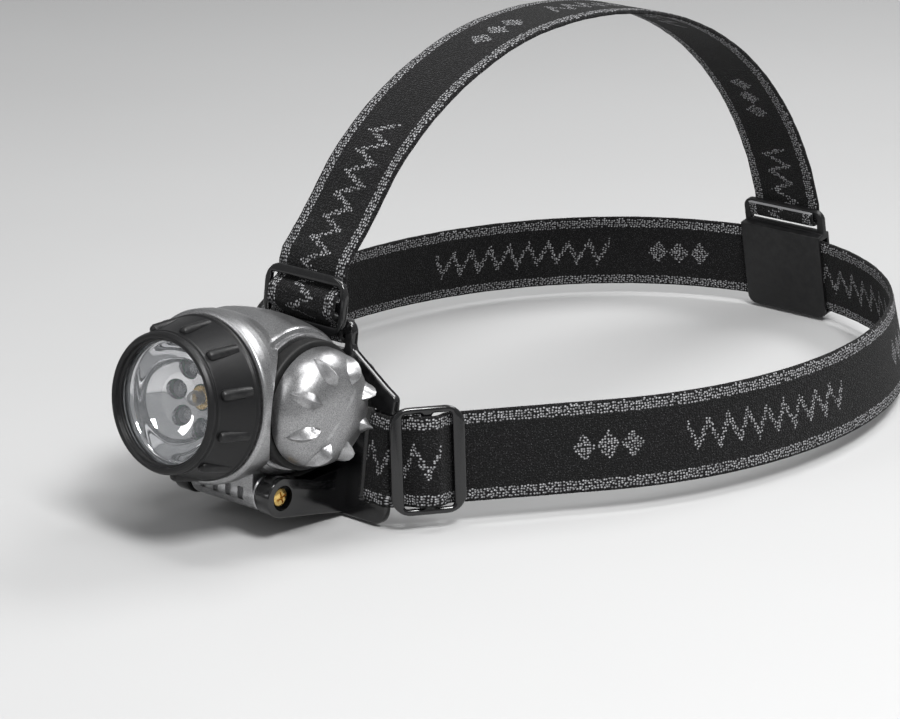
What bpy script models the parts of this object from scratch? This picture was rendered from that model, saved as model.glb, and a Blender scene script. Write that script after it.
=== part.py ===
"""Strap-on cap lamp: a tilting lamp head on a base plate, with its elastic head band and top strap.

Lengths are in millimetres inside this script and are turned into metres when a mesh is made.
World frame: +Z up, the lens looks along -Y, the origin is the middle of the foam pad's rear face.
Lamp frame: the same directions leaned back by LEAN, with its origin where the lens axis meets the
axis of the two side knobs. Everything except the two straps and their rear parts is placed in it.
"""

import math

import bmesh
import bpy
from mathutils import Matrix, Vector

MM = 0.001
GAP = 0.3  # clearance between pieces that touch

# ---- driving dimensions ----
LEAN = math.radians(8)  # the plate leans back against the cap's sloping front
PAD_BACK = 28.8  # lamp frame y of the pad's rear face
PAD_MIDDLE = -5.0  # lamp frame z of the pad's middle

PLATE_FRONT = 20.0
PLATE_THICKNESS = 2.5
PLATE_BACK = PLATE_FRONT + PLATE_THICKNESS
PLATE_LOW, PLATE_TOP = -33.4, 20.0
PLATE_NECK = 15.6  # half width of the tab that carries the top strap
PAD_HALF_WIDTH = 19.0
PAD_LOW, PAD_TOP = -28.5, 8.0
PAD_CORNER = 5.0

EAR_HALF_WIDTH = 32.5
EAR_SLOT_IN, EAR_SLOT_OUT = 22.6, 27.0
EAR_MIDDLE = -15.0  # height of the middle of the head band at the ears
SLOT_CLEAR = 0.6  # room beyond each edge of the webbing in a slot
TOP_SLOT_LOW, TOP_SLOT_HIGH = 11.6, 16.0
TOP_SLOT_HALF_WIDTH = 13.0

HINGE_Y, HINGE_Z = -5.0, -25.4
LUG_RADIUS = 5.6
LUG_IN, LUG_OUT = 12.8, 18.0
LUG_BORE = 1.8
LUG_SEAT_RADIUS, LUG_SEAT_IN = 3.5, 15.8
KNUCKLE_RADIUS = 5.0
KNUCKLE_HALF = 11.9
HINGE_SCREW_RADIUS, HINGE_SCREW_IN = 1.35, 7.5
WASHER_IN, WASHER_OUT, WASHER_GAP = 1.7, 4.4, 0.15

BARREL_BORE = 13.2
BARREL_POCKET, POCKET_HALF = 17.0, 13.6  # inside of the hollow between the two end walls
BARREL_HALF = 16.6
BARREL_CROWN = ((18.6, 16.6), (18.8, 16.3), (18.9, 15.0), (19.9, 14.5), (20.3, 13.4), (20.95, 10.0), (21.5, 5.0))
BARREL_MIDDLE = 21.7
BARREL_BACK = 19.4  # the rear is cut flat in front of the plate
NECK_RADIUS = 14.2
NECK_END = 24.0
SEAM = 0.15  # half the gap between the two shells
SEAM_ANGLE = 0.7  # the same gap as an angle of the barrel, in degrees
SHELL_SCREW_X, SHELL_SCREW_Z = 8.0, -19.6
SHELL_SCREW_RADIUS, SHELL_SCREW_HOLE, SHELL_SCREW_WELL = 1.0, 1.3, 2.3

RING_IN, RING_OUT = 16.9, 21.0
RING_RADIUS, RING_BORE = 17.7, 14.5
DOME_BASE = 21.3
DOME_RADIUS = 16.2
DOME_DEPTH = 11.2
DOME_POWER = 2.5  # exponent of the dome's section, fuller than an ellipse
DOME_WALL = 1.25
FINS = 8
# each fin: latitude in degrees, half width, height
FIN_SHAPE = ((18, 0.1, 0.1), (32, 1.3, 1.2), (45, 2.0, 2.3), (55, 1.6, 2.9), (63, 0.3, 1.3))

HOOD = ((19.0, -2.0), (21.6, -8.0), (23.0, -12.5), (23.5, -17.0), (23.4, -19.4), (23.0, -20.2))
COLLAR_RADIUS = 19.0
COLLAR_BORE = 17.8
COLLAR_FRONT = -25.6
CAVITY_BACK = -15.9
BOARD_WELL, BOARD_STEP = 16.3, -18.8  # the narrower rear of the cavity, which holds the board
LEAD_WAY_RADIUS = 2.4

BEZEL_REAR_RADIUS, BEZEL_REAR = 22.2, -20.5
BEZEL_RIM_RADIUS, BEZEL_RIM = 18.5, -35.5
BEZEL_WAIST_RADIUS, BEZEL_WAIST = 19.1, -32.7
BEZEL_BORE = 19.6
LENS_RADIUS = 17.5
LENS_FRONT, LENS_BACK = -32.7, -31.3
LENS_SEAL_BORE = 16.1
RIBS = 11
RIB_PHASE = math.radians(82.5)
RIB_ROOT = 0.8
# each station of a rib: distance along the lens axis, half width, height
RIB_SHAPE = ((-31.4, 0.7, 0.75), (-30.4, 1.45, 1.0), (-27.6, 1.35, 0.8), (-23.0, 0.15, 0.05))

BOARD_RADIUS, BOARD_FRONT, BOARD_BACK = 15.9, -17.6, -16.1
REFLECTOR = (
    (15.9, -29.6),
    (17.4, -29.6),
    (17.4, -28.6),
    (16.4, -28.2),
    (14.8, -25.2),
    (12.4, -22.6),
    (9.6, -20.7),
    (6.4, -19.6),
    (3.6, -19.2),
    (3.6, -20.2),
    (6.4, -20.6),
    (9.4, -21.7),
    (12.0, -23.5),
    (14.2, -26.2),
)
LED_COUNT = 7
LED_CIRCLE = 8.2
LED_PHASE = math.radians(72.5)
LED_RADIUS = 2.5
LED_FOOT = -17.9
LED_SHAPE = ((1.0, -19.5), (0.87, -20.6), (0.5, -21.5))  # shares of the radius along the dome
LED_TIP = -21.8
BULB = ((1.6, -18.4), (1.6, -20.6), (2.2, -21.8), (2.2, -23.2), (1.5, -24.4))
BULB_TIP = -25.0

CELL_RADIUS = 5.2
CELL_CIRCLE = 6.35
CELL_LEFT, CELL_RIGHT = -18.9, 24.7
CARRIER_RADIUS = 11.8

STRAP_WIDTH = 25.0
STRAP_THICKNESS = 1.4
BAND_HALF_WIDTH, BAND_HALF_LENGTH = 88.8, 110.8
BAND_FRONT, BAND_REAR_DROP = -8.5, 3.2
SIDE_LEAN = math.radians(12)
TOP_ROUTE = (  # side view (y, z) of the top strap over the crown
    (-3.2, 41.4),
    (5.4, 50.2),
    (17.6, 64.2),
    (32.8, 75.6),
    (50.0, 84.0),
    (70.0, 90.0),
    (92.0, 92.2),
    (114.0, 91.2),
    (136.0, 87.0),
    (157.0, 79.4),
    (176.0, 68.6),
    (192.0, 55.0),
    (204.5, 40.0),
    (213.5, 25.0),
)

GLIDE_THICKNESS = 1.8
GLIDE_BAR = 2.8
GLIDE_CORNER = 5.5
GLIDE_LEVEL = GLIDE_THICKNESS / 2 + GAP + 0.05 + STRAP_THICKNESS / 2
SIDE_GLIDE_LENGTH, SIDE_GLIDE_HEIGHT, SIDE_GLIDE_BAR = 21.0, 29.6, 3.6
SIDE_GLIDE_START = 0.3
TOP_GLIDE_LENGTH, TOP_GLIDE_HEIGHT, TOP_GLIDE_BAR = 16.6, 30.0, 2.8
TOP_GLIDE_LOW = 15.0
EAR_FRONT = PLATE_FRONT - GAP - STRAP_THICKNESS / 2
EAR_REAR = PLATE_BACK + GAP + STRAP_THICKNESS / 2
EAR_LEAVE = Vector((EAR_HALF_WIDTH + 0.7, EAR_FRONT - 0.7))  # (x, y) where the band leaves the ear

JUNCTION_HALF_WIDTH = 15.4
JUNCTION_SLOT_LOW, JUNCTION_SLOT_HIGH, JUNCTION_TOP = 15.6, 19.8, 22.6

SEGMENTS = 28

# ---- finishes: base colour, roughness, metallic ----
FINISHES = {
    "black_plastic": ((0.018, 0.018, 0.02), 0.42, 0.0),
    "gloss_black": ((0.012, 0.012, 0.013), 0.2, 0.0),
    "silver_plastic": ((0.42, 0.42, 0.43), 0.34, 0.85),
    "rubber": ((0.02, 0.02, 0.02), 0.7, 0.0),
    "foam": ((0.03, 0.03, 0.032), 0.95, 0.0),
    "webbing": ((0.035, 0.035, 0.037), 0.9, 0.0),
    "clear_lens": ((0.92, 0.94, 0.96), 0.05, 0.0),
    "led_epoxy": ((0.88, 0.9, 0.93), 0.08, 0.0),
    "bulb_glass": ((0.93, 0.93, 0.92), 0.04, 0.0),
    "chrome": ((0.85, 0.86, 0.88), 0.08, 1.0),
    "brass": ((0.75, 0.53, 0.2), 0.3, 1.0),
    "steel": ((0.6, 0.6, 0.6), 0.3, 1.0),
    "circuit_board": ((0.02, 0.2, 0.07), 0.4, 0.0),
    "red_wire": ((0.6, 0.03, 0.02), 0.4, 0.0),
    "black_wire": ((0.02, 0.02, 0.02), 0.4, 0.0),
    "cell_jacket": ((0.1, 0.16, 0.3), 0.35, 0.3),
}


# ---- scene helpers ----
def clear_scene():
    for obj in list(bpy.data.objects):
        bpy.data.objects.remove(obj, do_unlink=True)


def finish(name):
    material = bpy.data.materials.get(name)
    if material is None:
        colour, roughness, metallic = FINISHES[name]
        material = bpy.data.materials.new(name)
        material.use_nodes = True
        shader = material.node_tree.nodes["Principled BSDF"]
        shader.inputs["Base Color"].default_value = (*colour, 1.0)
        shader.inputs["Roughness"].default_value = roughness
        shader.inputs["Metallic"].default_value = metallic
        material.diffuse_color = (*colour, 1.0)
    return material


def make_empty(name, parent=None, place=(0.0, 0.0, 0.0)):
    """An empty at a place given in its parent's frame."""
    empty = bpy.data.objects.new(name, None)
    bpy.context.scene.collection.objects.link(empty)
    empty.parent = parent
    empty.location = Vector(place) * MM
    return empty


def make_object(name, mesh_builder, look, parent=None, smooth=35):
    """A mesh object from a bmesh in millimetres, given in the parent's frame."""
    for vert in mesh_builder.verts:
        vert.co *= MM
    if parent is not None and "pivot" in parent:
        shift = Vector(parent["pivot"]) * MM
        for vert in mesh_builder.verts:
            vert.co -= shift
    bmesh.ops.recalc_face_normals(mesh_builder, faces=mesh_builder.faces)
    mesh = bpy.data.meshes.new(name)
    mesh_builder.to_mesh(mesh)
    mesh_builder.free()
    if smooth:
        mesh.shade_smooth()
        mesh.set_sharp_from_angle(angle=math.radians(smooth))
    if look:
        mesh.materials.append(finish(look))
    obj = bpy.data.objects.new(name, mesh)
    bpy.context.scene.collection.objects.link(obj)
    obj.parent = parent
    return obj


def boolean(target, helper, operation):
    helper.hide_render = True
    helper.display_type = "WIRE"
    modifier = target.modifiers.new(helper.name, "BOOLEAN")
    modifier.operation = operation
    modifier.solver = "EXACT"
    modifier.object = helper


# ---- shape helpers ----
def turned(profile, axis="Y", centre=(0.0, 0.0, 0.0), segments=SEGMENTS, closed=True, sector=None):
    """A body turned about an axis. The profile holds (radius, distance along the axis) points.

    A closed profile makes a ring; an open one starts and ends on the axis. A sector of (start, end)
    angles in degrees turns a closed profile part of the way round and closes both ends.
    """
    builder = bmesh.new()
    along = {"X": Vector((1, 0, 0)), "Y": Vector((0, 1, 0)), "Z": Vector((0, 0, 1))}[axis]
    across = {"X": Vector((0, 1, 0)), "Y": Vector((0, 0, 1)), "Z": Vector((1, 0, 0))}[axis]
    other = along.cross(across)
    start, end = sector or (0, 360)
    rings = []
    for radius, height in profile:
        base = Vector(centre) + along * height
        if radius <= 0:
            rings.append([builder.verts.new(base)])
            continue
        ring = []
        for step in range(segments + bool(sector)):
            angle = math.radians(start + (end - start) * step / segments)
            ring.append(builder.verts.new(base + radius * (across * math.cos(angle) + other * math.sin(angle))))
        rings.append(ring)
    pairs = list(zip(rings, rings[1:]))
    if closed:
        pairs.append((rings[-1], rings[0]))
    if sector:
        for first, second in pairs:
            for step in range(segments):
                builder.faces.new((first[step], second[step], second[step + 1], first[step + 1]))
        builder.faces.new([ring[0] for ring in rings])
        builder.faces.new([ring[-1] for ring in reversed(rings)])
        return builder
    for first, second in pairs:
        for step in range(segments):
            after = (step + 1) % segments
            if len(first) == 1 and len(second) == 1:
                continue
            if len(first) == 1:
                builder.faces.new((first[0], second[step], second[after]))
            elif len(second) == 1:
                builder.faces.new((first[step], second[0], first[after]))
            else:
                builder.faces.new((first[step], second[step], second[after], first[after]))
    return builder


def tube_profile(inner, outer, low, high):
    return [(outer, low), (outer, high), (inner, high), (inner, low)]


def disc_profile(radius, low, high):
    return [(0, low), (radius, low), (radius, high), (0, high)]


def arc(centre, radius, start, end, steps):
    """Points of a circular arc, with its angles in degrees."""
    points = []
    for step in range(steps + 1):
        angle = math.radians(start + (end - start) * step / steps)
        points.append((centre[0] + radius * math.cos(angle), centre[1] + radius * math.sin(angle)))
    return points


def rounded_outline(corners, radius, steps=5):
    """An outline whose corners are rounded with arcs. The corners run anticlockwise."""
    outline = []
    count = len(corners)
    for index, corner in enumerate(corners):
        here = Vector(corner)
        before = (Vector(corners[index - 1]) - here).normalized()
        after = (Vector(corners[(index + 1) % count]) - here).normalized()
        size = radius[index] if isinstance(radius, (list, tuple)) else radius
        half = before.angle(after) / 2
        reach = size / math.tan(half)
        centre = here + (before + after).normalized() * size / math.sin(half)
        start = here + before * reach - centre
        end = here + after * reach - centre
        turn = start.angle_signed(end)
        for step in range(steps + 1):
            angle = -turn * step / steps
            rotated = Vector(
                (
                    start.x * math.cos(angle) - start.y * math.sin(angle),
                    start.x * math.sin(angle) + start.y * math.cos(angle),
                )
            )
            outline.append(tuple(centre + rotated))
    return outline


def prism(outline, low, high, plane="XZ"):
    """A prism on a flat outline: in plane XZ it runs along Y, in YZ along X."""
    builder = bmesh.new()

    def place(point, depth):
        first, second = point
        return {"XZ": (first, depth, second), "YZ": (depth, first, second), "XY": (first, second, depth)}[plane]

    bottom = [builder.verts.new(place(point, low)) for point in outline]
    top = [builder.verts.new(place(point, high)) for point in outline]
    builder.faces.new(bottom)
    builder.faces.new(list(reversed(top)))
    count = len(outline)
    for index in range(count):
        after = (index + 1) % count
        builder.faces.new((bottom[index], top[index], top[after], bottom[after]))
    return builder


def box(low, high):
    outline = [(low[0], low[1]), (high[0], low[1]), (high[0], high[1]), (low[0], high[1])]
    return prism(outline, low[2], high[2], "XY")


def hull(points, builder=None):
    """The convex hull of some points, added to a bmesh."""
    piece = bmesh.new()
    for point in points:
        piece.verts.new(point)
    result = bmesh.ops.convex_hull(piece, input=piece.verts)
    loose = [item for item in result["geom_interior"] if isinstance(item, bmesh.types.BMVert)]
    bmesh.ops.delete(piece, geom=loose, context="VERTS")
    if builder is None:
        return piece
    mesh = bpy.data.meshes.new("piece")
    piece.to_mesh(mesh)
    piece.free()
    builder.from_mesh(mesh)
    bpy.data.meshes.remove(mesh)
    return builder


def ribbon(stations, thickness, width=STRAP_WIDTH):
    """A flat strap through stations of (centre point, direction across its width)."""
    builder = bmesh.new()
    rings = []
    points = [station[0] for station in stations]
    for index, (point, across) in enumerate(stations):
        ahead = points[min(index + 1, len(points) - 1)]
        behind = points[max(index - 1, 0)]
        run = (ahead - behind).normalized()
        across = (across - run * across.dot(run)).normalized()
        normal = run.cross(across)
        half = across * width / 2
        depth = normal * thickness / 2
        corners = (point - half - depth, point + half - depth, point + half + depth, point - half + depth)
        rings.append([builder.verts.new(corner) for corner in corners])
    for first, second in zip(rings, rings[1:]):
        for side in range(4):
            after = (side + 1) % 4
            builder.faces.new((first[side], second[side], second[after], first[after]))
    builder.faces.new(rings[0])
    builder.faces.new(list(reversed(rings[-1])))
    return builder


def wire(points, radius, sides=6):
    """A bent wire of round section through some points."""
    builder = bmesh.new()
    rings = []
    side_way = Vector((0.03, 0.02, 1.0))
    for index, point in enumerate(points):
        ahead = Vector(points[min(index + 1, len(points) - 1)])
        behind = Vector(points[max(index - 1, 0)])
        run = (ahead - behind).normalized()
        side_way = (side_way - run * side_way.dot(run)).normalized()
        other = run.cross(side_way)
        ring = []
        for step in range(sides):
            angle = 2 * math.pi * step / sides
            offset = side_way * math.cos(angle) + other * math.sin(angle)
            ring.append(builder.verts.new(Vector(point) + radius * offset))
        rings.append(ring)
    for first, second in zip(rings, rings[1:]):
        for step in range(sides):
            after = (step + 1) % sides
            builder.faces.new((first[step], second[step], second[after], first[after]))
    builder.faces.new(rings[0])
    builder.faces.new(list(reversed(rings[-1])))
    return builder


# ---- frames ----
lean_turn = Matrix.Rotation(-LEAN, 3, "X")


def to_world(point):
    """A lamp-frame point in the world frame, in millimetres."""
    return lean_turn @ (Vector(point) - Vector((0, PAD_BACK, PAD_MIDDLE)))


def make_frames():
    """Empties that carry the lamp frame and each joint's axis."""
    frames = {}
    lamp = make_empty("lamp_frame")
    lamp.rotation_euler = (-LEAN, 0, 0)
    lamp.location = to_world((0, 0, 0)) * MM
    frames["plate"] = lamp
    pivots = {
        "lamp": (0, HINGE_Y, HINGE_Z),
        "bezel": (0, BEZEL_REAR, 0),
        "switch": (-DOME_BASE, 0, 0),
        "cartridge": (DOME_BASE, 0, 0),
        "cap": (DOME_BASE, 0, 0),
    }
    for name, pivot in pivots.items():
        frames[name] = make_empty(name + "_axis", lamp, pivot)
        frames[name]["pivot"] = pivot
    return frames


# ---- base: plate, pad, screws ----
def plate_outline():
    corners = [
        (-EAR_HALF_WIDTH, PLATE_LOW),
        (EAR_HALF_WIDTH, PLATE_LOW),
        (EAR_HALF_WIDTH, 2.2),
        (28.6, 4.3),
        (PLATE_NECK, 12.4),
        (PLATE_NECK, PLATE_TOP),
        (-PLATE_NECK, PLATE_TOP),
        (-PLATE_NECK, 12.4),
        (-28.6, 4.3),
        (-EAR_HALF_WIDTH, 2.2),
    ]
    return rounded_outline(corners, [4, 4, 2, 4, 2.5, 4, 4, 2.5, 4, 2])


def lug_outline():
    """Side view (y, z) of a hinge lug and the arm that carries it."""
    round_end = arc((HINGE_Y, HINGE_Z), LUG_RADIUS, 78, 262, 13)
    rear = PLATE_FRONT + 0.6
    return round_end + [(8.0, -31.8), (rear, -33.2), (rear, -19.0), (6.0, -21.8)]


def make_base_plate(parent):
    plate = make_object("base_plate", prism(plate_outline(), PLATE_FRONT, PLATE_BACK), "black_plastic", parent)
    slot_low = EAR_MIDDLE - STRAP_WIDTH / 2 - SLOT_CLEAR
    slot_high = EAR_MIDDLE + STRAP_WIDTH / 2 + SLOT_CLEAR
    for side, label in ((1, "right"), (-1, "left")):
        low, high = sorted((side * LUG_IN, side * LUG_OUT))
        lug = make_object("lug_" + label, prism(lug_outline(), low, high, "YZ"), "", parent)
        boolean(plate, lug, "UNION")
        bore = turned(disc_profile(LUG_BORE, low - 1, high + 1), "X", (0, HINGE_Y, HINGE_Z), 16, False)
        boolean(plate, make_object("lug_bore_" + label, bore, "", parent), "DIFFERENCE")
        seat_low, seat_high = sorted((side * LUG_SEAT_IN, side * (LUG_OUT + 1)))
        seat = turned(disc_profile(LUG_SEAT_RADIUS, seat_low, seat_high), "X", (0, HINGE_Y, HINGE_Z), 20, False)
        boolean(plate, make_object("lug_seat_" + label, seat, "", parent), "DIFFERENCE")
        slot_in, slot_out = sorted((side * EAR_SLOT_IN, side * EAR_SLOT_OUT))
        corners = [(slot_in, slot_low), (slot_out, slot_low), (slot_out, slot_high), (slot_in, slot_high)]
        slot = prism(rounded_outline(corners, 1.0, 2), PLATE_FRONT - 2, PLATE_BACK + 2)
        boolean(plate, make_object("ear_slot_" + label, slot, "", parent), "DIFFERENCE")
    half = TOP_SLOT_HALF_WIDTH
    corners = [(-half, TOP_SLOT_LOW), (half, TOP_SLOT_LOW), (half, TOP_SLOT_HIGH), (-half, TOP_SLOT_HIGH)]
    slot = prism(rounded_outline(corners, 1.0, 2), PLATE_FRONT - 2, PLATE_BACK + 2)
    boolean(plate, make_object("top_slot", slot, "", parent), "DIFFERENCE")
    return plate


def make_foam_pad(parent):
    half = PAD_HALF_WIDTH
    corners = [(-half, PAD_LOW), (half, PAD_LOW), (half, PAD_TOP), (-half, PAD_TOP)]
    pad = prism(rounded_outline(corners, PAD_CORNER), PLATE_BACK + GAP, PAD_BACK)
    return make_object("foam_pad", pad, "foam", parent)


def make_hinge_hardware(parent):
    for side, label in ((1, "right"), (-1, "left")):
        profile = [
            (0, side * HINGE_SCREW_IN),
            (HINGE_SCREW_RADIUS, side * HINGE_SCREW_IN),
            (HINGE_SCREW_RADIUS, side * 16.1),
            (2.6, side * 16.1),
            (2.6, side * 16.9),
            (2.0, side * 17.5),
            (0, side * 17.5),
        ]
        screw = turned(profile, "X", (0, HINGE_Y, HINGE_Z), 16, False)
        make_object("hinge_screw_" + label, screw, "brass", parent)
        low, high = sorted((side * (KNUCKLE_HALF + WASHER_GAP), side * (LUG_IN - WASHER_GAP)))
        washer = turned(tube_profile(WASHER_IN, WASHER_OUT, low, high), "X", (0, HINGE_Y, HINGE_Z), 20)
        make_object("hinge_washer_" + label, washer, "rubber", parent)


# ---- straps ----
def glide_wave(travel, length, end_bar):
    """Sideways shift of a strap as it runs under, over and under the bars of a glide."""
    bar = GLIDE_BAR / 2
    middle = abs(travel - length / 2)
    edge = length / 2 - end_bar - 0.2
    if middle <= bar:
        return GLIDE_LEVEL
    if middle >= edge:
        return -GLIDE_LEVEL
    share = (middle - bar) / (edge - bar)
    return GLIDE_LEVEL * math.cos(math.pi * share)


def band_tangent():
    """Angle on the band's oval where the straight run from the ear meets it."""
    start = to_world((EAR_LEAVE.x, EAR_LEAVE.y, EAR_MIDDLE))
    low, high = math.radians(20), math.radians(80)
    for _ in range(40):
        middle = (low + high) / 2
        point = Vector((BAND_HALF_WIDTH * math.sin(middle), BAND_HALF_LENGTH * (1 - math.cos(middle))))
        heading = Vector((BAND_HALF_WIDTH * math.cos(middle), BAND_HALF_LENGTH * math.sin(middle)))
        run = point - Vector((start.x, start.y))
        if run.x * heading.y - run.y * heading.x > 0:
            high = middle
        else:
            low = middle
    return middle


def run_frame():
    """Start point, run direction, outward normal and length of the straight stretch beside the ear."""
    start = to_world((EAR_LEAVE.x, EAR_LEAVE.y, EAR_MIDDLE))
    end = band_point(band_tangent())
    run = end - start
    length = run.length
    run.normalize()
    across = width_way(run, LEAN)
    outward = run.cross(across).normalized()
    return start, run, outward, length


def band_height(y):
    return BAND_FRONT - BAND_REAR_DROP * max(0.0, y) / (2 * BAND_HALF_LENGTH)


def band_point(angle):
    x = BAND_HALF_WIDTH * math.sin(angle)
    y = BAND_HALF_LENGTH * (1 - math.cos(angle))
    return Vector((x, y, band_height(y)))


def width_way(run, lean):
    """Direction across the band on the right-hand side, leaning in towards the cap by the lean angle."""
    outward = Vector((run.y, -run.x, 0)).normalized()
    return (Vector((0, 0, math.cos(lean))) - outward * math.sin(lean)).normalized()


def half_band():
    """Stations of the right half of the head band, from its tail behind the ear to the middle of the back."""
    plate_up = lean_turn @ Vector((0, 0, 1))
    start, run, outward, length = run_frame()
    bend = (EAR_REAR - EAR_FRONT) / 2
    wrap_x = EAR_SLOT_OUT + 0.1
    stations = []

    # tail: back along the inside of the straight stretch, then behind the ear to its slot
    tail_level = -(GLIDE_LEVEL + 2.2 * STRAP_THICKNESS)
    for travel in (13.5, 9.5):
        stations.append((start + run * travel + outward * tail_level, width_way(run, LEAN)))
    for x, clear in ((30.0, 0.6), (28.6, 0.1)):
        stations.append((to_world((x, EAR_REAR + clear, EAR_MIDDLE)), plate_up))
    for step in range(9):
        angle = math.pi * step / 8
        x = wrap_x - bend * math.sin(angle)
        y = (EAR_REAR + EAR_FRONT) / 2 + bend * math.cos(angle)
        stations.append((to_world((x, y, EAR_MIDDLE)), plate_up))
    for x, clear in ((28.8, 0.0), (31.0, 0.3), (EAR_LEAVE.x - 0.4, 0.66)):
        stations.append((to_world((x, EAR_FRONT - clear, EAR_MIDDLE)), plate_up))

    # straight stretch through the glide
    across = width_way(run, LEAN)
    for step in range(30):
        travel = 0.8 + (SIDE_GLIDE_LENGTH + 0.5) * step / 29
        shift = glide_wave(travel - SIDE_GLIDE_START, SIDE_GLIDE_LENGTH, SIDE_GLIDE_BAR) + GLIDE_LEVEL
        stations.append((start + run * travel + outward * shift, across))
    for share in (0.25, 0.5, 0.75):
        glide_end = SIDE_GLIDE_START + SIDE_GLIDE_LENGTH
        travel = glide_end + (length - glide_end) * share
        lean = LEAN + (SIDE_LEAN - LEAN) * share
        stations.append((start + run * travel, width_way(run, lean)))

    # round the side and back of the cap
    steps = 26
    first = band_tangent()
    for step in range(steps + 1):
        angle = first + (math.pi - first) * step / steps
        heading = Vector((BAND_HALF_WIDTH * math.cos(angle), BAND_HALF_LENGTH * math.sin(angle), 0))
        stations.append((band_point(angle), width_way(heading, SIDE_LEAN)))
    return stations


def mirrored(stations):
    flip = Vector((-1, 1, 1))
    return [(point * flip, across * flip) for point, across in reversed(stations)]


def make_head_strap():
    right = half_band()
    stations = right + mirrored(right)[1:]
    make_object("head_strap", ribbon(stations, STRAP_THICKNESS), "webbing", smooth=50)


def junction_frame():
    """The rear junction stands on the band's rear middle and leans in with it."""
    rear = band_point(math.pi)
    up = Vector((0, -math.sin(SIDE_LEAN), math.cos(SIDE_LEAN)))
    outward = Vector((0, math.cos(SIDE_LEAN), math.sin(SIDE_LEAN)))
    return rear, up, outward


def make_top_strap():
    sideways = Vector((1, 0, 0))
    bend = (EAR_REAR - EAR_FRONT) / 2
    wrap_z = TOP_SLOT_HIGH - 0.1
    stations = []
    for z in (19.4, 17.6):
        stations.append(to_world((0, EAR_REAR, z)))
    for step in range(9):
        angle = math.pi * step / 8
        y = (EAR_REAR + EAR_FRONT) / 2 + bend * math.cos(angle)
        stations.append(to_world((0, y, wrap_z - bend * math.sin(angle))))
    low = TOP_GLIDE_LOW - 0.2
    for step in range(30):
        z = 17.2 + (low + TOP_GLIDE_LENGTH + 0.8 - 17.2) * step / 29
        shift = glide_wave(z - TOP_GLIDE_LOW, TOP_GLIDE_LENGTH, TOP_GLIDE_BAR) + GLIDE_LEVEL
        if z < TOP_GLIDE_LOW + TOP_GLIDE_LENGTH / 2:
            shift *= min(1.0, (z - 17.2) / 2.0)
        stations.append(to_world((0, EAR_FRONT - shift, z)))
    stations += catmull([Vector((0, y, z)) for y, z in TOP_ROUTE], 3)

    # round the upper bar of the rear junction, from the outside in
    rear, up, outward = junction_frame()
    bar_low, bar_high = JUNCTION_SLOT_HIGH, JUNCTION_TOP
    outer = 1.0 + GAP + STRAP_THICKNESS / 2
    corner_z = bar_low - 0.1
    stations.append(rear + up * (bar_high + 1.5) + outward * outer)
    stations.append(rear + up * (bar_low + 1.2) + outward * outer)
    for step in range(9):
        angle = math.pi * step / 8
        stations.append(rear + up * (corner_z - outer * math.sin(angle)) + outward * outer * math.cos(angle))
    stations.append(rear + up * (bar_high - 0.4) - outward * outer)
    strap = ribbon([(point, sideways) for point in stations], STRAP_THICKNESS)
    make_object("top_strap", strap, "webbing", smooth=50)


def catmull(points, steps):
    """A smooth curve through points."""
    ends = [points[0] * 2 - points[1]] + points + [points[-1] * 2 - points[-2]]
    curve = []
    for first, second, third, fourth in zip(ends, ends[1:], ends[2:], ends[3:]):
        for step in range(steps):
            t = step / steps
            curve.append(
                0.5
                * (
                    2 * second
                    + (third - first) * t
                    + (2 * first - 5 * second + 4 * third - fourth) * t * t
                    + (3 * second - first - 3 * third + fourth) * t**3
                )
            )
    curve.append(points[-1])
    return curve


def glide(name, length, height, end_bar, place):
    """A three-bar strap glide. Its length runs along the strap and its height across it."""
    half = height / 2
    outline = rounded_outline([(0, -half), (length, -half), (length, half), (0, half)], GLIDE_CORNER, 5)
    frame = prism(outline, -GLIDE_THICKNESS / 2, GLIDE_THICKNESS / 2)
    for vert in frame.verts:
        vert.co = place(vert.co)
    body = make_object(name, frame, "gloss_black")
    window_half = STRAP_WIDTH / 2 + 0.4
    middle = length / 2
    spans = ((end_bar, middle - GLIDE_BAR / 2), (middle + GLIDE_BAR / 2, length - end_bar))
    for number, (low, high) in enumerate(spans):
        corners = [(low, -window_half), (high, -window_half), (high, window_half), (low, window_half)]
        window = prism(rounded_outline(corners, 0.9, 2), -GLIDE_THICKNESS, GLIDE_THICKNESS)
        for vert in window.verts:
            vert.co = place(vert.co)
        boolean(body, make_object(f"{name}_window_{number}", window, ""), "DIFFERENCE")
    return body


def make_glides():
    start, run, outward, _ = run_frame()
    across = width_way(run, LEAN)

    def on_right(point):
        return start + run * (point.x + SIDE_GLIDE_START) + outward * (GLIDE_LEVEL - point.y) + across * point.z

    def on_left(point):
        right = on_right(point)
        return Vector((-right.x, right.y, right.z))

    def on_top(point):
        return to_world((point.z, EAR_FRONT - GLIDE_LEVEL + point.y, TOP_GLIDE_LOW + point.x))

    glide("slider_right", SIDE_GLIDE_LENGTH, SIDE_GLIDE_HEIGHT, SIDE_GLIDE_BAR, on_right)
    glide("slider_left", SIDE_GLIDE_LENGTH, SIDE_GLIDE_HEIGHT, SIDE_GLIDE_BAR, on_left)
    glide("slider_top", TOP_GLIDE_LENGTH, TOP_GLIDE_HEIGHT, TOP_GLIDE_BAR, on_top)


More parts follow.
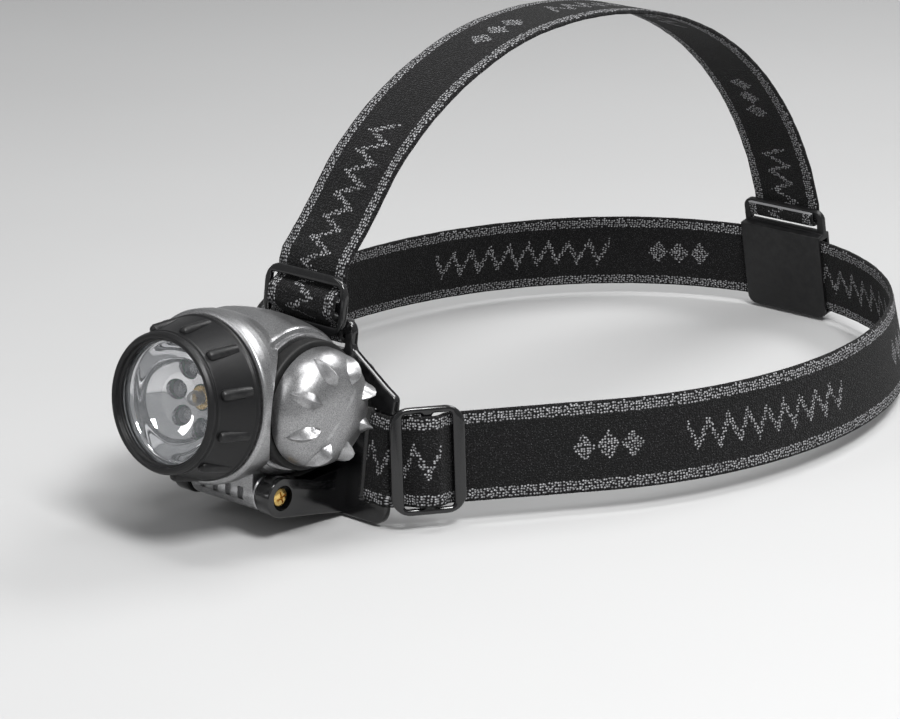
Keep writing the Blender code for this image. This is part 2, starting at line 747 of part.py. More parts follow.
def make_rear_junction():
    """A flat plastic sleeve round the head band with a slotted lug above it for the top strap."""
    rear, up, outward = junction_frame()

    def place(point):
        return rear + Vector((point.x, 0, 0)) + outward * point.y + up * point.z

    half = JUNCTION_HALF_WIDTH
    low = -STRAP_WIDTH / 2 - 2.0
    outline = rounded_outline([(-half, low), (half, low), (half, JUNCTION_TOP), (-half, JUNCTION_TOP)], 3.0, 4)
    plate = prism(outline, -3.9, 2.2)
    for vert in plate.verts:
        vert.co = place(vert.co)
    body = make_object("rear_junction", plate, "black_plastic")

    def cut(name, low_corner, high_corner):
        cutter = box(low_corner, high_corner)
        for vert in cutter.verts:
            vert.co = place(vert.co)
        boolean(body, make_object(name, cutter, ""), "DIFFERENCE")

    band = STRAP_WIDTH / 2 + 0.5
    cut("junction_band_way", (-half - 2, -2.8, -band), (half + 2, 1.1, band))
    cut("junction_front_step", (-half - 2, 1.0, band + 1.9), (half + 2, 4, JUNCTION_TOP + 2))
    cut("junction_rear_step", (-half - 2, -5, band + 1.9), (half + 2, -1.0, JUNCTION_TOP + 2))
    slot = TOP_SLOT_HALF_WIDTH
    cut("junction_slot", (-slot, -5, JUNCTION_SLOT_LOW), (slot, 4, JUNCTION_SLOT_HIGH))


# ---- lamp: shells and what they hold ----
def make_front_shell(parent):
    """Front half of the barrel, the hood and collar for the bezel, and the hinge knuckle."""
    front = [(0, HOOD[0][1]), *HOOD, (COLLAR_RADIUS, HOOD[-1][1]), (COLLAR_RADIUS, COLLAR_FRONT), (0, COLLAR_FRONT)]
    shell = make_object("front_shell", turned(front, "Y", segments=36, closed=False), "silver_plastic", parent)
    clearance = turned(disc_profile(BARREL_BORE + 0.8, -30, 30), "X", segments=36, closed=False)
    boolean(shell, make_object("barrel_clearance", clearance, "", parent), "DIFFERENCE")
    boolean(shell, make_object("front_barrel", half_barrel(90, 270), "", parent), "UNION")
    for side, label in ((1, "right"), (-1, "left")):
        low, high = sorted((side * (BARREL_HALF + 0.15), side * (RING_OUT + 6)))
        ring_way = turned(tube_profile(NECK_RADIUS - 0.05, RING_RADIUS + 0.4, low, high), "X", segments=36)
        boolean(shell, make_object("ring_way_" + label, ring_way, "", parent), "DIFFERENCE")
        way = lug_way(side)
        boolean(shell, make_object("front_lug_way_" + label, way, "", parent), "DIFFERENCE")
    place = (0, HINGE_Y, HINGE_Z)
    knuckle = turned(disc_profile(KNUCKLE_RADIUS, -KNUCKLE_HALF, KNUCKLE_HALF), "X", place, 28, False)
    boolean(shell, make_object("knuckle", knuckle, "", parent), "UNION")
    half = KNUCKLE_HALF - 0.4
    web = prism([(-11.0, -17.6), (-9.9, -25.6), (-1.4, -24.5), (-SEAM, -18.4)], -half, half, "YZ")
    boolean(shell, make_object("knuckle_web", web, "", parent), "UNION")
    cavity = [
        (0, COLLAR_FRONT - 2),
        (COLLAR_BORE, COLLAR_FRONT - 2),
        (COLLAR_BORE, BOARD_STEP),
        (BOARD_WELL, BOARD_STEP),
        (BOARD_WELL, CAVITY_BACK),
        (0, CAVITY_BACK),
    ]
    boolean(shell, make_object("lamp_cavity", turned(cavity, closed=False), "", parent), "DIFFERENCE")
    lead_way = turned(disc_profile(LEAD_WAY_RADIUS, -17.0, -10.0), "Y", segments=16, closed=False)
    boolean(shell, make_object("lead_way", lead_way, "", parent), "DIFFERENCE")
    for side, label in ((1, "right"), (-1, "left")):
        low, high = sorted((side * (HINGE_SCREW_IN - 0.5), side * (KNUCKLE_HALF + 1)))
        pin_hole = turned(disc_profile(HINGE_SCREW_RADIUS + GAP, low, high), "X", place, 16, False)
        boolean(shell, make_object("pin_hole_" + label, pin_hole, "", parent), "DIFFERENCE")
        screw_place = (side * SHELL_SCREW_X, 0, SHELL_SCREW_Z)
        screw_hole = turned(disc_profile(SHELL_SCREW_HOLE, -6.5, 2), "Y", screw_place, 16, False)
        boolean(shell, make_object("screw_hole_" + label, screw_hole, "", parent), "DIFFERENCE")


def lug_way(side):
    """Room that the body leaves round one hinge lug."""
    low, high = sorted((side * (LUG_IN - GAP), side * (LUG_OUT + 0.6)))
    return turned(disc_profile(LUG_RADIUS + 0.5, low, high), "X", (0, HINGE_Y, HINGE_Z), 32, False)


def half_barrel(start, end):
    """Half of the crowned barrel: an end wall at each side, a hollow between, and the two necks."""
    right = [
        (BARREL_POCKET, POCKET_HALF),
        (BARREL_BORE, POCKET_HALF),
        (BARREL_BORE, NECK_END),
        (NECK_RADIUS, NECK_END),
        (NECK_RADIUS, BARREL_HALF),
        *BARREL_CROWN,
    ]
    left = [(radius, -place) for radius, place in reversed(right)]
    profile = right + [(BARREL_MIDDLE, 0)] + left
    return turned(profile, "X", segments=20, sector=(start + SEAM_ANGLE, end - SEAM_ANGLE))


def make_rear_shell(parent):
    shell = make_object("rear_shell", half_barrel(-90, 90), "silver_plastic", parent)
    behind = box((-30, BARREL_BACK, -30), (30, 30, 30))
    boolean(shell, make_object("flat_back", behind, "", parent), "DIFFERENCE")
    for side, label in ((1, "right"), (-1, "left")):
        way = lug_way(side)
        boolean(shell, make_object("rear_lug_way_" + label, way, "", parent), "DIFFERENCE")
        place = (side * SHELL_SCREW_X, 0, SHELL_SCREW_Z)
        hole = turned(disc_profile(SHELL_SCREW_HOLE, -2, 6), "Y", place, 16, False)
        boolean(shell, make_object("rear_hole_" + label, hole, "", parent), "DIFFERENCE")
        well = turned(disc_profile(SHELL_SCREW_WELL, 2.5, 14), "Y", place, 20, False)
        boolean(shell, make_object("screw_well_" + label, well, "", parent), "DIFFERENCE")
        shank = SHELL_SCREW_RADIUS
        profile = [(0, -5.6), (shank, -5.6), (shank, 2.6), (2.0, 2.6), (2.0, 3.4), (1.4, 3.9), (0, 3.9)]
        make_object("shell_screw_" + label, turned(profile, "Y", place, 16, False), "steel", parent)


def make_rings(parent):
    for side, label in ((1, "right"), (-1, "left")):
        profile = [
            (RING_BORE, side * RING_IN),
            (RING_RADIUS - 0.5, side * RING_IN),
            (RING_RADIUS, side * (RING_IN + 0.5)),
            (RING_RADIUS, side * (RING_OUT - 0.5)),
            (RING_RADIUS - 0.5, side * RING_OUT),
            (RING_BORE, side * RING_OUT),
        ]
        make_object("ring_seal_" + label, turned(profile, "X"), "rubber", parent)


def make_light_unit(parent):
    plate = turned(disc_profile(BOARD_RADIUS, BOARD_FRONT, BOARD_BACK), "Y", closed=False)
    board = make_object("led_board", plate, "circuit_board", parent)
    hole = turned(disc_profile(1.0, -20, -14), "Y", (0, 0, 6.4), 10, False)
    boolean(board, make_object("board_hole", hole, "", parent), "DIFFERENCE")
    bowl = make_object("reflector", turned(REFLECTOR, "Y", segments=30), "chrome", parent)
    for index in range(LED_COUNT):
        angle = LED_PHASE + 2 * math.pi * index / LED_COUNT
        place = (LED_CIRCLE * math.cos(angle), 0, LED_CIRCLE * math.sin(angle))
        hole = turned(disc_profile(LED_RADIUS + GAP, -40, -15), "Y", place, 12, False)
        boolean(bowl, make_object(f"led_hole_{index + 1}", hole, "", parent), "DIFFERENCE")
        profile = [(0, LED_FOOT), (LED_RADIUS, LED_FOOT)]
        profile += [(LED_RADIUS * share, y) for share, y in LED_SHAPE]
        profile.append((0, LED_TIP))
        make_object(f"led_{index + 1}", turned(profile, "Y", place, 12, False), "led_epoxy", parent)
    socket = turned(tube_profile(1.9, 3.2, -20.6, LED_FOOT), "Y", segments=16)
    make_object("bulb_socket", socket, "brass", parent)
    profile = [(0, BULB[0][1]), *BULB, (0, BULB_TIP)]
    make_object("bulb", turned(profile, "Y", segments=16, closed=False), "bulb_glass", parent)
    seal = turned(tube_profile(COLLAR_RADIUS + 0.06, BEZEL_BORE - 0.08, -23.6, -22.6), "Y", segments=36)
    make_object("neck_seal", seal, "rubber", parent)


def make_bezel(parent):
    seat, lip = LENS_RADIUS + 0.4, LENS_FRONT - GAP
    profile = [
        (BEZEL_REAR_RADIUS, BEZEL_REAR),
        (BEZEL_REAR_RADIUS, BEZEL_REAR - 0.9),
        (BEZEL_REAR_RADIUS - 0.45, BEZEL_REAR - 1.4),
        (BEZEL_WAIST_RADIUS, BEZEL_WAIST),
        (BEZEL_WAIST_RADIUS, BEZEL_WAIST - 0.7),
        (BEZEL_RIM_RADIUS + 0.3, BEZEL_WAIST - 1.0),
        (BEZEL_RIM_RADIUS, BEZEL_RIM + 0.4),
        (BEZEL_RIM_RADIUS - 0.7, BEZEL_RIM),
        (17.0, BEZEL_RIM),
        (16.6, BEZEL_RIM + 0.7),
        (16.2, lip),
        (seat, lip),
        (seat, -29.4),
        (BEZEL_BORE, -26.2),
        (BEZEL_BORE, BEZEL_REAR),
    ]
    bezel = make_object("bezel", turned(profile, "Y", segments=36), "black_plastic", parent)
    boolean(bezel, make_object("bezel_ribs", bezel_ribs(), "", parent), "UNION")
    lens = turned(disc_profile(LENS_RADIUS, LENS_FRONT, LENS_BACK), "Y", closed=False)
    make_object("lens", lens, "clear_lens", parent)
    seal = turned(tube_profile(LENS_SEAL_BORE, LENS_RADIUS, LENS_BACK + GAP, LENS_BACK + 1.4), "Y")
    make_object("lens_seal", seal, "rubber", parent)


def bezel_ribs():
    """Short bullet-shaped grips round the bezel's cone."""
    ribs = bmesh.new()
    slope = (BEZEL_REAR_RADIUS - 0.45 - BEZEL_WAIST_RADIUS) / (BEZEL_REAR - 1.4 - BEZEL_WAIST)
    for index in range(RIBS):
        angle = RIB_PHASE + 2 * math.pi * index / RIBS
        out = Vector((math.cos(angle), 0, math.sin(angle)))
        side = Vector((-math.sin(angle), 0, math.cos(angle)))
        points = []
        for y, half, height in RIB_SHAPE:
            surface = BEZEL_WAIST_RADIUS + slope * (y - BEZEL_WAIST)
            for way in (-1, 1):
                points.append(out * (surface - RIB_ROOT) + side * half * way + Vector((0, y, 0)))
                points.append(out * (surface + height) + side * half * 0.55 * way + Vector((0, y, 0)))
        hull(points, ribs)
    return ribs


def dome_point(angle, radius, depth):
    """A point (radius, distance from the base) of the dome's section."""
    share = 2 / DOME_POWER
    return radius * math.cos(angle) ** share, depth * math.sin(angle) ** share


def dome_profile(side):
    """Section of a hollow knob: an open base and a domed end."""
    steps = 8
    angles = [math.pi / 2 * step / steps for step in range(steps)]
    outer = [dome_point(angle, DOME_RADIUS, DOME_DEPTH) for angle in angles] + [(0, DOME_DEPTH)]
    radius, depth = DOME_RADIUS - DOME_WALL, DOME_DEPTH - DOME_WALL
    inner = [(0, depth)] + [dome_point(angle, radius, depth) for angle in reversed(angles)]
    return [(point[0], side * (DOME_BASE + point[1])) for point in outer + inner]


def dome_fins(side):
    """Leaf-shaped grips along the dome's meridians, highest towards its crown."""
    fins = bmesh.new()
    for index in range(FINS):
        angle = math.pi / FINS * (2 * index + 1)
        out = Vector((0, math.cos(angle), math.sin(angle)))
        across = Vector((0, -math.sin(angle), math.cos(angle)))
        points = []
        for latitude, half, height in FIN_SHAPE:
            radius, reach = dome_point(math.radians(latitude), DOME_RADIUS, DOME_DEPTH)
            surface = out * radius
            surface.x = side * (DOME_BASE + reach)
            normal = out * (radius / DOME_RADIUS) ** (DOME_POWER - 1) / DOME_RADIUS
            normal.x = side * (reach / DOME_DEPTH) ** (DOME_POWER - 1) / DOME_DEPTH
            normal.normalize()
            for way in (-1, 1):
                points.append(surface - normal * 0.5 + across * half * way)
            points.append(surface + normal * height)
        hull(points, fins)
    return fins


def make_knob(name, side, parent):
    knob = make_object(name, turned(dome_profile(side), "X", segments=32), "silver_plastic", parent)
    boolean(knob, make_object(name + "_fins", dome_fins(side), "", parent), "UNION")


def make_switch(parent, lamp):
    board = turned(disc_profile(12.4, -24.9, -23.7), "X", closed=False)
    make_object("switch_board", board, "circuit_board", lamp)
    rotor = [(0, -28.2), (8.0, -28.2), (8.0, -26.2), (10.5, -26.2), (10.5, -25.2), (0, -25.2)]
    make_object("switch_rotor", turned(rotor, "X", segments=24, closed=False), "brass", parent)


def make_leads(parent):
    reach = BARREL_BORE - 0.6
    for number, (name, look) in enumerate((("lead_red", "red_wire"), ("lead_black", "black_wire"))):
        lift = 1.0 if number == 0 else -1.0
        route = [(0, -15.8, lift), (-0.2, -14.2, lift)]
        angle = math.asin(lift / reach)
        corner = -reach * math.cos(angle)
        route += [(-0.7, corner - 0.5, lift), (-1.6, corner, lift)]
        route += [(x, corner, lift) for x in (-6.0, -12.0, -18.0, -23.3)]
        make_object(name, wire(route, 0.4), look, parent)


def make_cartridge(parent):
    """Carrier with three cells side by side, their springs at the left and a contact at the right."""
    left = turned(disc_profile(CARRIER_RADIUS, -23.2, -21.9), "X", closed=False)
    carrier = make_object("battery_carrier", left, "black_plastic", parent)
    right = turned(disc_profile(CARRIER_RADIUS, 26.0, 27.2), "X", closed=False)
    boolean(carrier, make_object("carrier_right_end", right, "", parent), "UNION")
    rails = bmesh.new()
    for index in range(3):
        angle = math.radians(30 + 120 * index)
        out = Vector((0, math.cos(angle), math.sin(angle)))
        side = Vector((0, -math.sin(angle), math.cos(angle)))
        points = []
        for x in (-22.5, 26.5):
            for reach, half_width in ((9.3, 1.6), (11.2, 2.2)):
                for way in (-1, 1):
                    points.append(out * reach + side * half_width * way + Vector((x, 0, 0)))
        hull(points, rails)
    boolean(carrier, make_object("carrier_rails", rails, "", parent), "UNION")
    for index in range(3):
        angle = math.radians(90 + 120 * index)
        place = (0, CELL_CIRCLE * math.cos(angle), CELL_CIRCLE * math.sin(angle))
        profile = [
            (0, CELL_LEFT),
            (CELL_RADIUS, CELL_LEFT),
            (CELL_RADIUS, CELL_RIGHT - 0.6),
            (CELL_RADIUS - 0.5, CELL_RIGHT),
            (1.9, CELL_RIGHT),
            (1.9, CELL_RIGHT + 0.6),
            (0, CELL_RIGHT + 0.6),
        ]
        make_object(f"cell_{index + 1}", turned(profile, "X", place, 20, False), "cell_jacket", parent)
        coil = []
        turns, steps = 2.0, 22
        for step in range(steps + 1):
            share = step / steps
            turn = 2 * math.pi * turns * share
            radius = 3.4 - 1.2 * share
            x = -21.55 + 2.3 * share
            coil.append((x, place[1] + radius * math.cos(turn), place[2] + radius * math.sin(turn)))
        make_object(f"cell_spring_{index + 1}", wire(coil, 0.25, 5), "steel", parent)
    contact = turned(tube_profile(4.6, 7.8, 25.45, 25.85), "X", segments=24)
    make_object("cell_contact", contact, "brass", parent)


def main():
    clear_scene()
    frames = make_frames()
    make_base_plate(frames["plate"])
    make_foam_pad(frames["plate"])
    make_hinge_hardware(frames["plate"])
    make_head_strap()
    make_top_strap()
    make_glides()
    make_rear_junction()
    make_front_shell(frames["lamp"])
    make_rear_shell(frames["lamp"])
    make_rings(frames["lamp"])
    make_light_unit(frames["lamp"])
    make_leads(frames["lamp"])
    make_bezel(frames["bezel"])
    make_knob("switch_knob", -1, frames["switch"])
    make_switch(frames["switch"], frames["lamp"])
    make_cartridge(frames["cartridge"])
    make_knob("battery_cap", 1, frames["cap"])
    bpy.context.view_layer.update()


main()
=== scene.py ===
import math

import bmesh
import bpy
from mathutils import Matrix, Vector


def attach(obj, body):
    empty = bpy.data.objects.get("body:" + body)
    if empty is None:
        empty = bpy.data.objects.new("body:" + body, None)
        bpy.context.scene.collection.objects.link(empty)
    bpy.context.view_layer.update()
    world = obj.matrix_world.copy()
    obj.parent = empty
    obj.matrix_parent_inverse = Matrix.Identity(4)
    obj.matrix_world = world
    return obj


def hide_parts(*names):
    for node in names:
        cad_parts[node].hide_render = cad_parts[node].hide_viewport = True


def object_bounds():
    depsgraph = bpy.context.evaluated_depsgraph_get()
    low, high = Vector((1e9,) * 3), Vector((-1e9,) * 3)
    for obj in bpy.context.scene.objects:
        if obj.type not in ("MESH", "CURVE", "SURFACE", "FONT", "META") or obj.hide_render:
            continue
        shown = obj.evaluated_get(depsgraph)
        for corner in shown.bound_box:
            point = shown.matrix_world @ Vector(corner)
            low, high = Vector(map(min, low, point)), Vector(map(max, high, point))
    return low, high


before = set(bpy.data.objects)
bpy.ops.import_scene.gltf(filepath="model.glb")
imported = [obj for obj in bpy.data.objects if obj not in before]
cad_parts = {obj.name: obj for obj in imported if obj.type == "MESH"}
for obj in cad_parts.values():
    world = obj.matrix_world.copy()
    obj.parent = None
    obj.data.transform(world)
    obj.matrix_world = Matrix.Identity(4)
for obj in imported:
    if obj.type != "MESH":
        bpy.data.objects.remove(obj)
cad_low, cad_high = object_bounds()

# Lengths are in millimetres, in the lamp's own frame: x along the barrel to the right, y from the
# lens towards the plate, z up, with its origin where the lens axis meets the axis of the two knobs.
# Those of the camera, the lights and the floor are in metres.
MM = 0.001
FULL_TURN = 2 * math.pi
LEAN = math.radians(8)
PAD_BACK, PAD_MIDDLE = 28.8, -5.0
LEAN_TURN = Matrix.Rotation(-LEAN, 3, "X")
HINGE = (0.0, -5.0, -25.4)


def to_world(point):
    """A point of the lamp's frame in the row frame, still in millimetres."""
    return LEAN_TURN @ (Vector(point) - Vector((0, PAD_BACK, PAD_MIDDLE)))


LAMP = Matrix.Translation(to_world((0, 0, 0)) * MM) @ LEAN_TURN.to_4x4()

# ---------------------------------------------------------------- camera, floor and lights
AZIMUTH, ELEVATION = math.radians(41), math.radians(18)


def way_back(azimuth, elevation):
    """The way from the lamp to something that looks at it: azimuth 0 is straight in front."""
    return Vector(
        (
            math.sin(azimuth) * math.cos(elevation),
            -math.cos(azimuth) * math.cos(elevation),
            math.sin(elevation),
        )
    )


VIEW_BACK = way_back(AZIMUTH, ELEVATION)
VIEW_RIGHT = Vector((math.cos(AZIMUTH), math.sin(AZIMUTH), 0))
VIEW_UP = VIEW_BACK.cross(VIEW_RIGHT)
CAMERA_DISTANCE, CAMERA_RIGHT, CAMERA_UP = 0.850, 0.0524, 0.0080
FOCAL_LENGTH_MM, SENSOR_WIDTH_MM = 126.5, 36.0
CLIP_NEAR, CLIP_FAR = 0.02, 20.0
STUDIO_TINT, STUDIO_STRENGTH = (0.93, 0.94, 0.95, 1), 0.34


def place_camera():
    data = bpy.data.cameras.new("camera")
    data.lens = FOCAL_LENGTH_MM
    data.sensor_width = SENSOR_WIDTH_MM
    data.clip_start, data.clip_end = CLIP_NEAR, CLIP_FAR
    camera = bpy.data.objects.new("camera", data)
    bpy.context.scene.collection.objects.link(camera)
    lamp_centre = LAMP.to_translation()
    camera.location = (
        lamp_centre + VIEW_BACK * CAMERA_DISTANCE + VIEW_RIGHT * CAMERA_RIGHT + VIEW_UP * CAMERA_UP
    )
    camera.rotation_mode = "QUATERNION"
    camera.rotation_quaternion = (-VIEW_BACK).to_track_quat("-Z", "Y")
    bpy.context.scene.camera = camera


def softbox(name, azimuth, elevation, distance, size, energy):
    """A rectangular light that looks at the middle of the lamp and its straps."""
    middle = (cad_low + cad_high) / 2
    back = way_back(math.radians(azimuth), math.radians(elevation))
    data = bpy.data.lights.new(name, "AREA")
    data.shape = "RECTANGLE"
    data.size, data.size_y = size
    data.energy = energy
    light = bpy.data.objects.new(name, data)
    bpy.context.scene.collection.objects.link(light)
    light.location = middle + back * distance
    light.rotation_euler = (-back).to_track_quat("-Z", "Y").to_euler()


def set_studio():
    world = bpy.data.worlds.new("studio")
    bpy.context.scene.world = world
    world.use_nodes = True
    backdrop = world.node_tree.nodes["Background"]
    backdrop.inputs["Color"].default_value = STUDIO_TINT
    backdrop.inputs["Strength"].default_value = STUDIO_STRENGTH
    bpy.context.scene.view_settings.view_transform = "Standard"
    softbox("key", azimuth=62, elevation=50, distance=0.9, size=(0.26, 0.26), energy=8.5)
    softbox("fill", azimuth=-25, elevation=28, distance=1.2, size=(0.3, 0.9), energy=2.2)
    softbox("rim", azimuth=165, elevation=50, distance=1.0, size=(0.6, 0.3), energy=5.0)
    softbox("overhead", azimuth=41, elevation=84, distance=0.9, size=(0.5, 0.16), energy=2.6)


# ---------------------------------------------------------------- shared shader groups
def new_group(name, inputs, outputs):
    group = bpy.data.node_groups.new(name, "ShaderNodeTree")
    for label, kind, value in inputs:
        socket = group.interface.new_socket(name=label, in_out="INPUT", socket_type=kind)
        socket.default_value = value
    for label, kind in outputs:
        group.interface.new_socket(name=label, in_out="OUTPUT", socket_type=kind)
    return group, Nodes(group)


class Nodes:
    """Short ways to add and join the nodes of one tree."""

    def __init__(self, tree):
        self.tree = tree

    def add(self, kind, **settings):
        node = self.tree.nodes.new(kind)
        for name, value in settings.items():
            setattr(node, name, value)
        return node

    def join(self, source, target):
        self.tree.links.new(source, target)

    def feed(self, socket, value):
        if isinstance(value, bpy.types.NodeSocket):
            self.join(value, socket)
        else:
            socket.default_value = value

    def math(self, operation, *values, clamp=False):
        node = self.add("ShaderNodeMath", operation=operation, use_clamp=clamp)
        for socket, value in zip(node.inputs, values):
            self.feed(socket, value)
        return node.outputs[0]

    def between(self, value, low, high, to_low=0.0, to_high=1.0):
        node = self.add("ShaderNodeMapRange")
        for name, item in (
            ("Value", value),
            ("From Min", low),
            ("From Max", high),
            ("To Min", to_low),
            ("To Max", to_high),
        ):
            self.feed(node.inputs[name], item)
        return node.outputs["Result"]

    def blend(self, share, first, second):
        node = self.add("ShaderNodeMix", data_type="RGBA")
        self.feed(node.inputs["Factor"], share)
        self.feed(node.inputs["A"], first)
        self.feed(node.inputs["B"], second)
        return node.outputs["Result"]

    def noise(self, vector, scale, detail=2.0, roughness=0.5):
        node = self.add("ShaderNodeTexNoise")
        self.feed(node.inputs["Vector"], vector)
        self.feed(node.inputs["Scale"], scale)
        self.feed(node.inputs["Detail"], detail)
        self.feed(node.inputs["Roughness"], roughness)
        return node.outputs["Fac"]

    def bump(self, height, strength, distance):
        node = self.add("ShaderNodeBump")
        self.feed(node.inputs["Height"], height)
        self.feed(node.inputs["Strength"], strength)
        self.feed(node.inputs["Distance"], distance)
        return node.outputs["Normal"]


FLOAT, COLOUR, VECTOR = "NodeSocketFloat", "NodeSocketColor", "NodeSocketVector"
FLAT_POINTINESS = 0.505
DUST_COLOUR = (0.42, 0.4, 0.37, 1)
YARN_BLACK = (0.0028, 0.0028, 0.003, 1)
YARN_GREY = (0.07, 0.07, 0.073, 1)
YARN_LIGHT = (0.5, 0.5, 0.515, 1)


def grain_group():
    """Fine moulded grain: a normal, and a mask that varies from grain to grain."""
    group, make = new_group(
        "moulded_grain",
        [("Scale", FLOAT, 2600.0), ("Depth", FLOAT, 0.3)],
        [("Normal", VECTOR), ("Grain", FLOAT), ("Cloud", FLOAT)],
    )
    given = make.add("NodeGroupInput")
    out = make.add("NodeGroupOutput")
    place = make.add("ShaderNodeTexCoord").outputs["Object"]
    grain = make.noise(place, given.outputs["Scale"], 2.0, 0.65)
    cloud = make.noise(place, 55.0, 4.0, 0.6)
    make.join(make.bump(grain, given.outputs["Depth"], 0.00006), out.inputs["Normal"])
    make.join(grain, out.inputs["Grain"])
    make.join(cloud, out.inputs["Cloud"])
    return group


def wear_group():
    """A mask of rubbed edges, broken up by noise, and one of fine handling scratches."""
    group, make = new_group(
        "edge_wear",
        [("Reach", FLOAT, 0.06), ("Amount", FLOAT, 0.6)],
        [("Edge", FLOAT), ("Scratch", FLOAT)],
    )
    given = make.add("NodeGroupInput")
    out = make.add("NodeGroupOutput")
    place = make.add("ShaderNodeTexCoord").outputs["Object"]
    sharp = make.add("ShaderNodeNewGeometry").outputs["Pointiness"]
    top = make.math("ADD", FLAT_POINTINESS, given.outputs["Reach"])
    edge = make.between(sharp, FLAT_POINTINESS, top)
    patchy = make.between(make.noise(place, 420.0, 4.0, 0.7), 0.38, 0.62)
    edge = make.math("MULTIPLY", edge, patchy, clamp=True)
    make.join(make.math("MULTIPLY", edge, given.outputs["Amount"], clamp=True), out.inputs["Edge"])
    stretch = make.add("ShaderNodeMapping")
    make.join(place, stretch.inputs["Vector"])
    stretch.inputs["Rotation"].default_value = (0.4, 0.7, 0.2)
    stretch.inputs["Scale"].default_value = (40.0, 900.0, 900.0)
    lines = make.noise(stretch.outputs["Vector"], 1.0, 2.0, 0.6)
    lines = make.between(lines, 0.64, 0.72)
    make.join(make.math("MULTIPLY", lines, given.outputs["Amount"], clamp=True), out.inputs["Scratch"])
    return group


def dust_group():
    """A mask of pale dust that settles on faces that look up."""
    group, make = new_group("settled_dust", [("Amount", FLOAT, 0.15)], [("Dust", FLOAT)])
    given = make.add("NodeGroupInput")
    out = make.add("NodeGroupOutput")
    place = make.add("ShaderNodeTexCoord").outputs["Object"]
    split = make.add("ShaderNodeSeparateXYZ")
    make.join(make.add("ShaderNodeNewGeometry").outputs["Normal"], split.inputs[0])
    facing_up = make.between(split.outputs["Z"], 0.1, 0.95)
    specks = make.between(make.noise(place, 900.0, 6.0, 0.75), 0.45, 0.75)
    cover = make.math("MULTIPLY", facing_up, specks, clamp=True)
    make.join(make.math("MULTIPLY", cover, given.outputs["Amount"], clamp=True), out.inputs["Dust"])
    return group


STRAP_WIDTH = 25.0
STITCH_ALONG, STITCH_ACROSS = 0.86, 0.74
STRIPE_IN, STRIPE_OUT = 3.5, 0.5
REPEAT, SHORT_END, LONG_START, LONG_END = 136.0, 21.0, 34.0, 97.0
MARK_PITCH, ZIGZAG_STROKE, ZIGZAG_HALF, DIAMOND_HALF = 7.0, 1.7, 3.6, 3.3


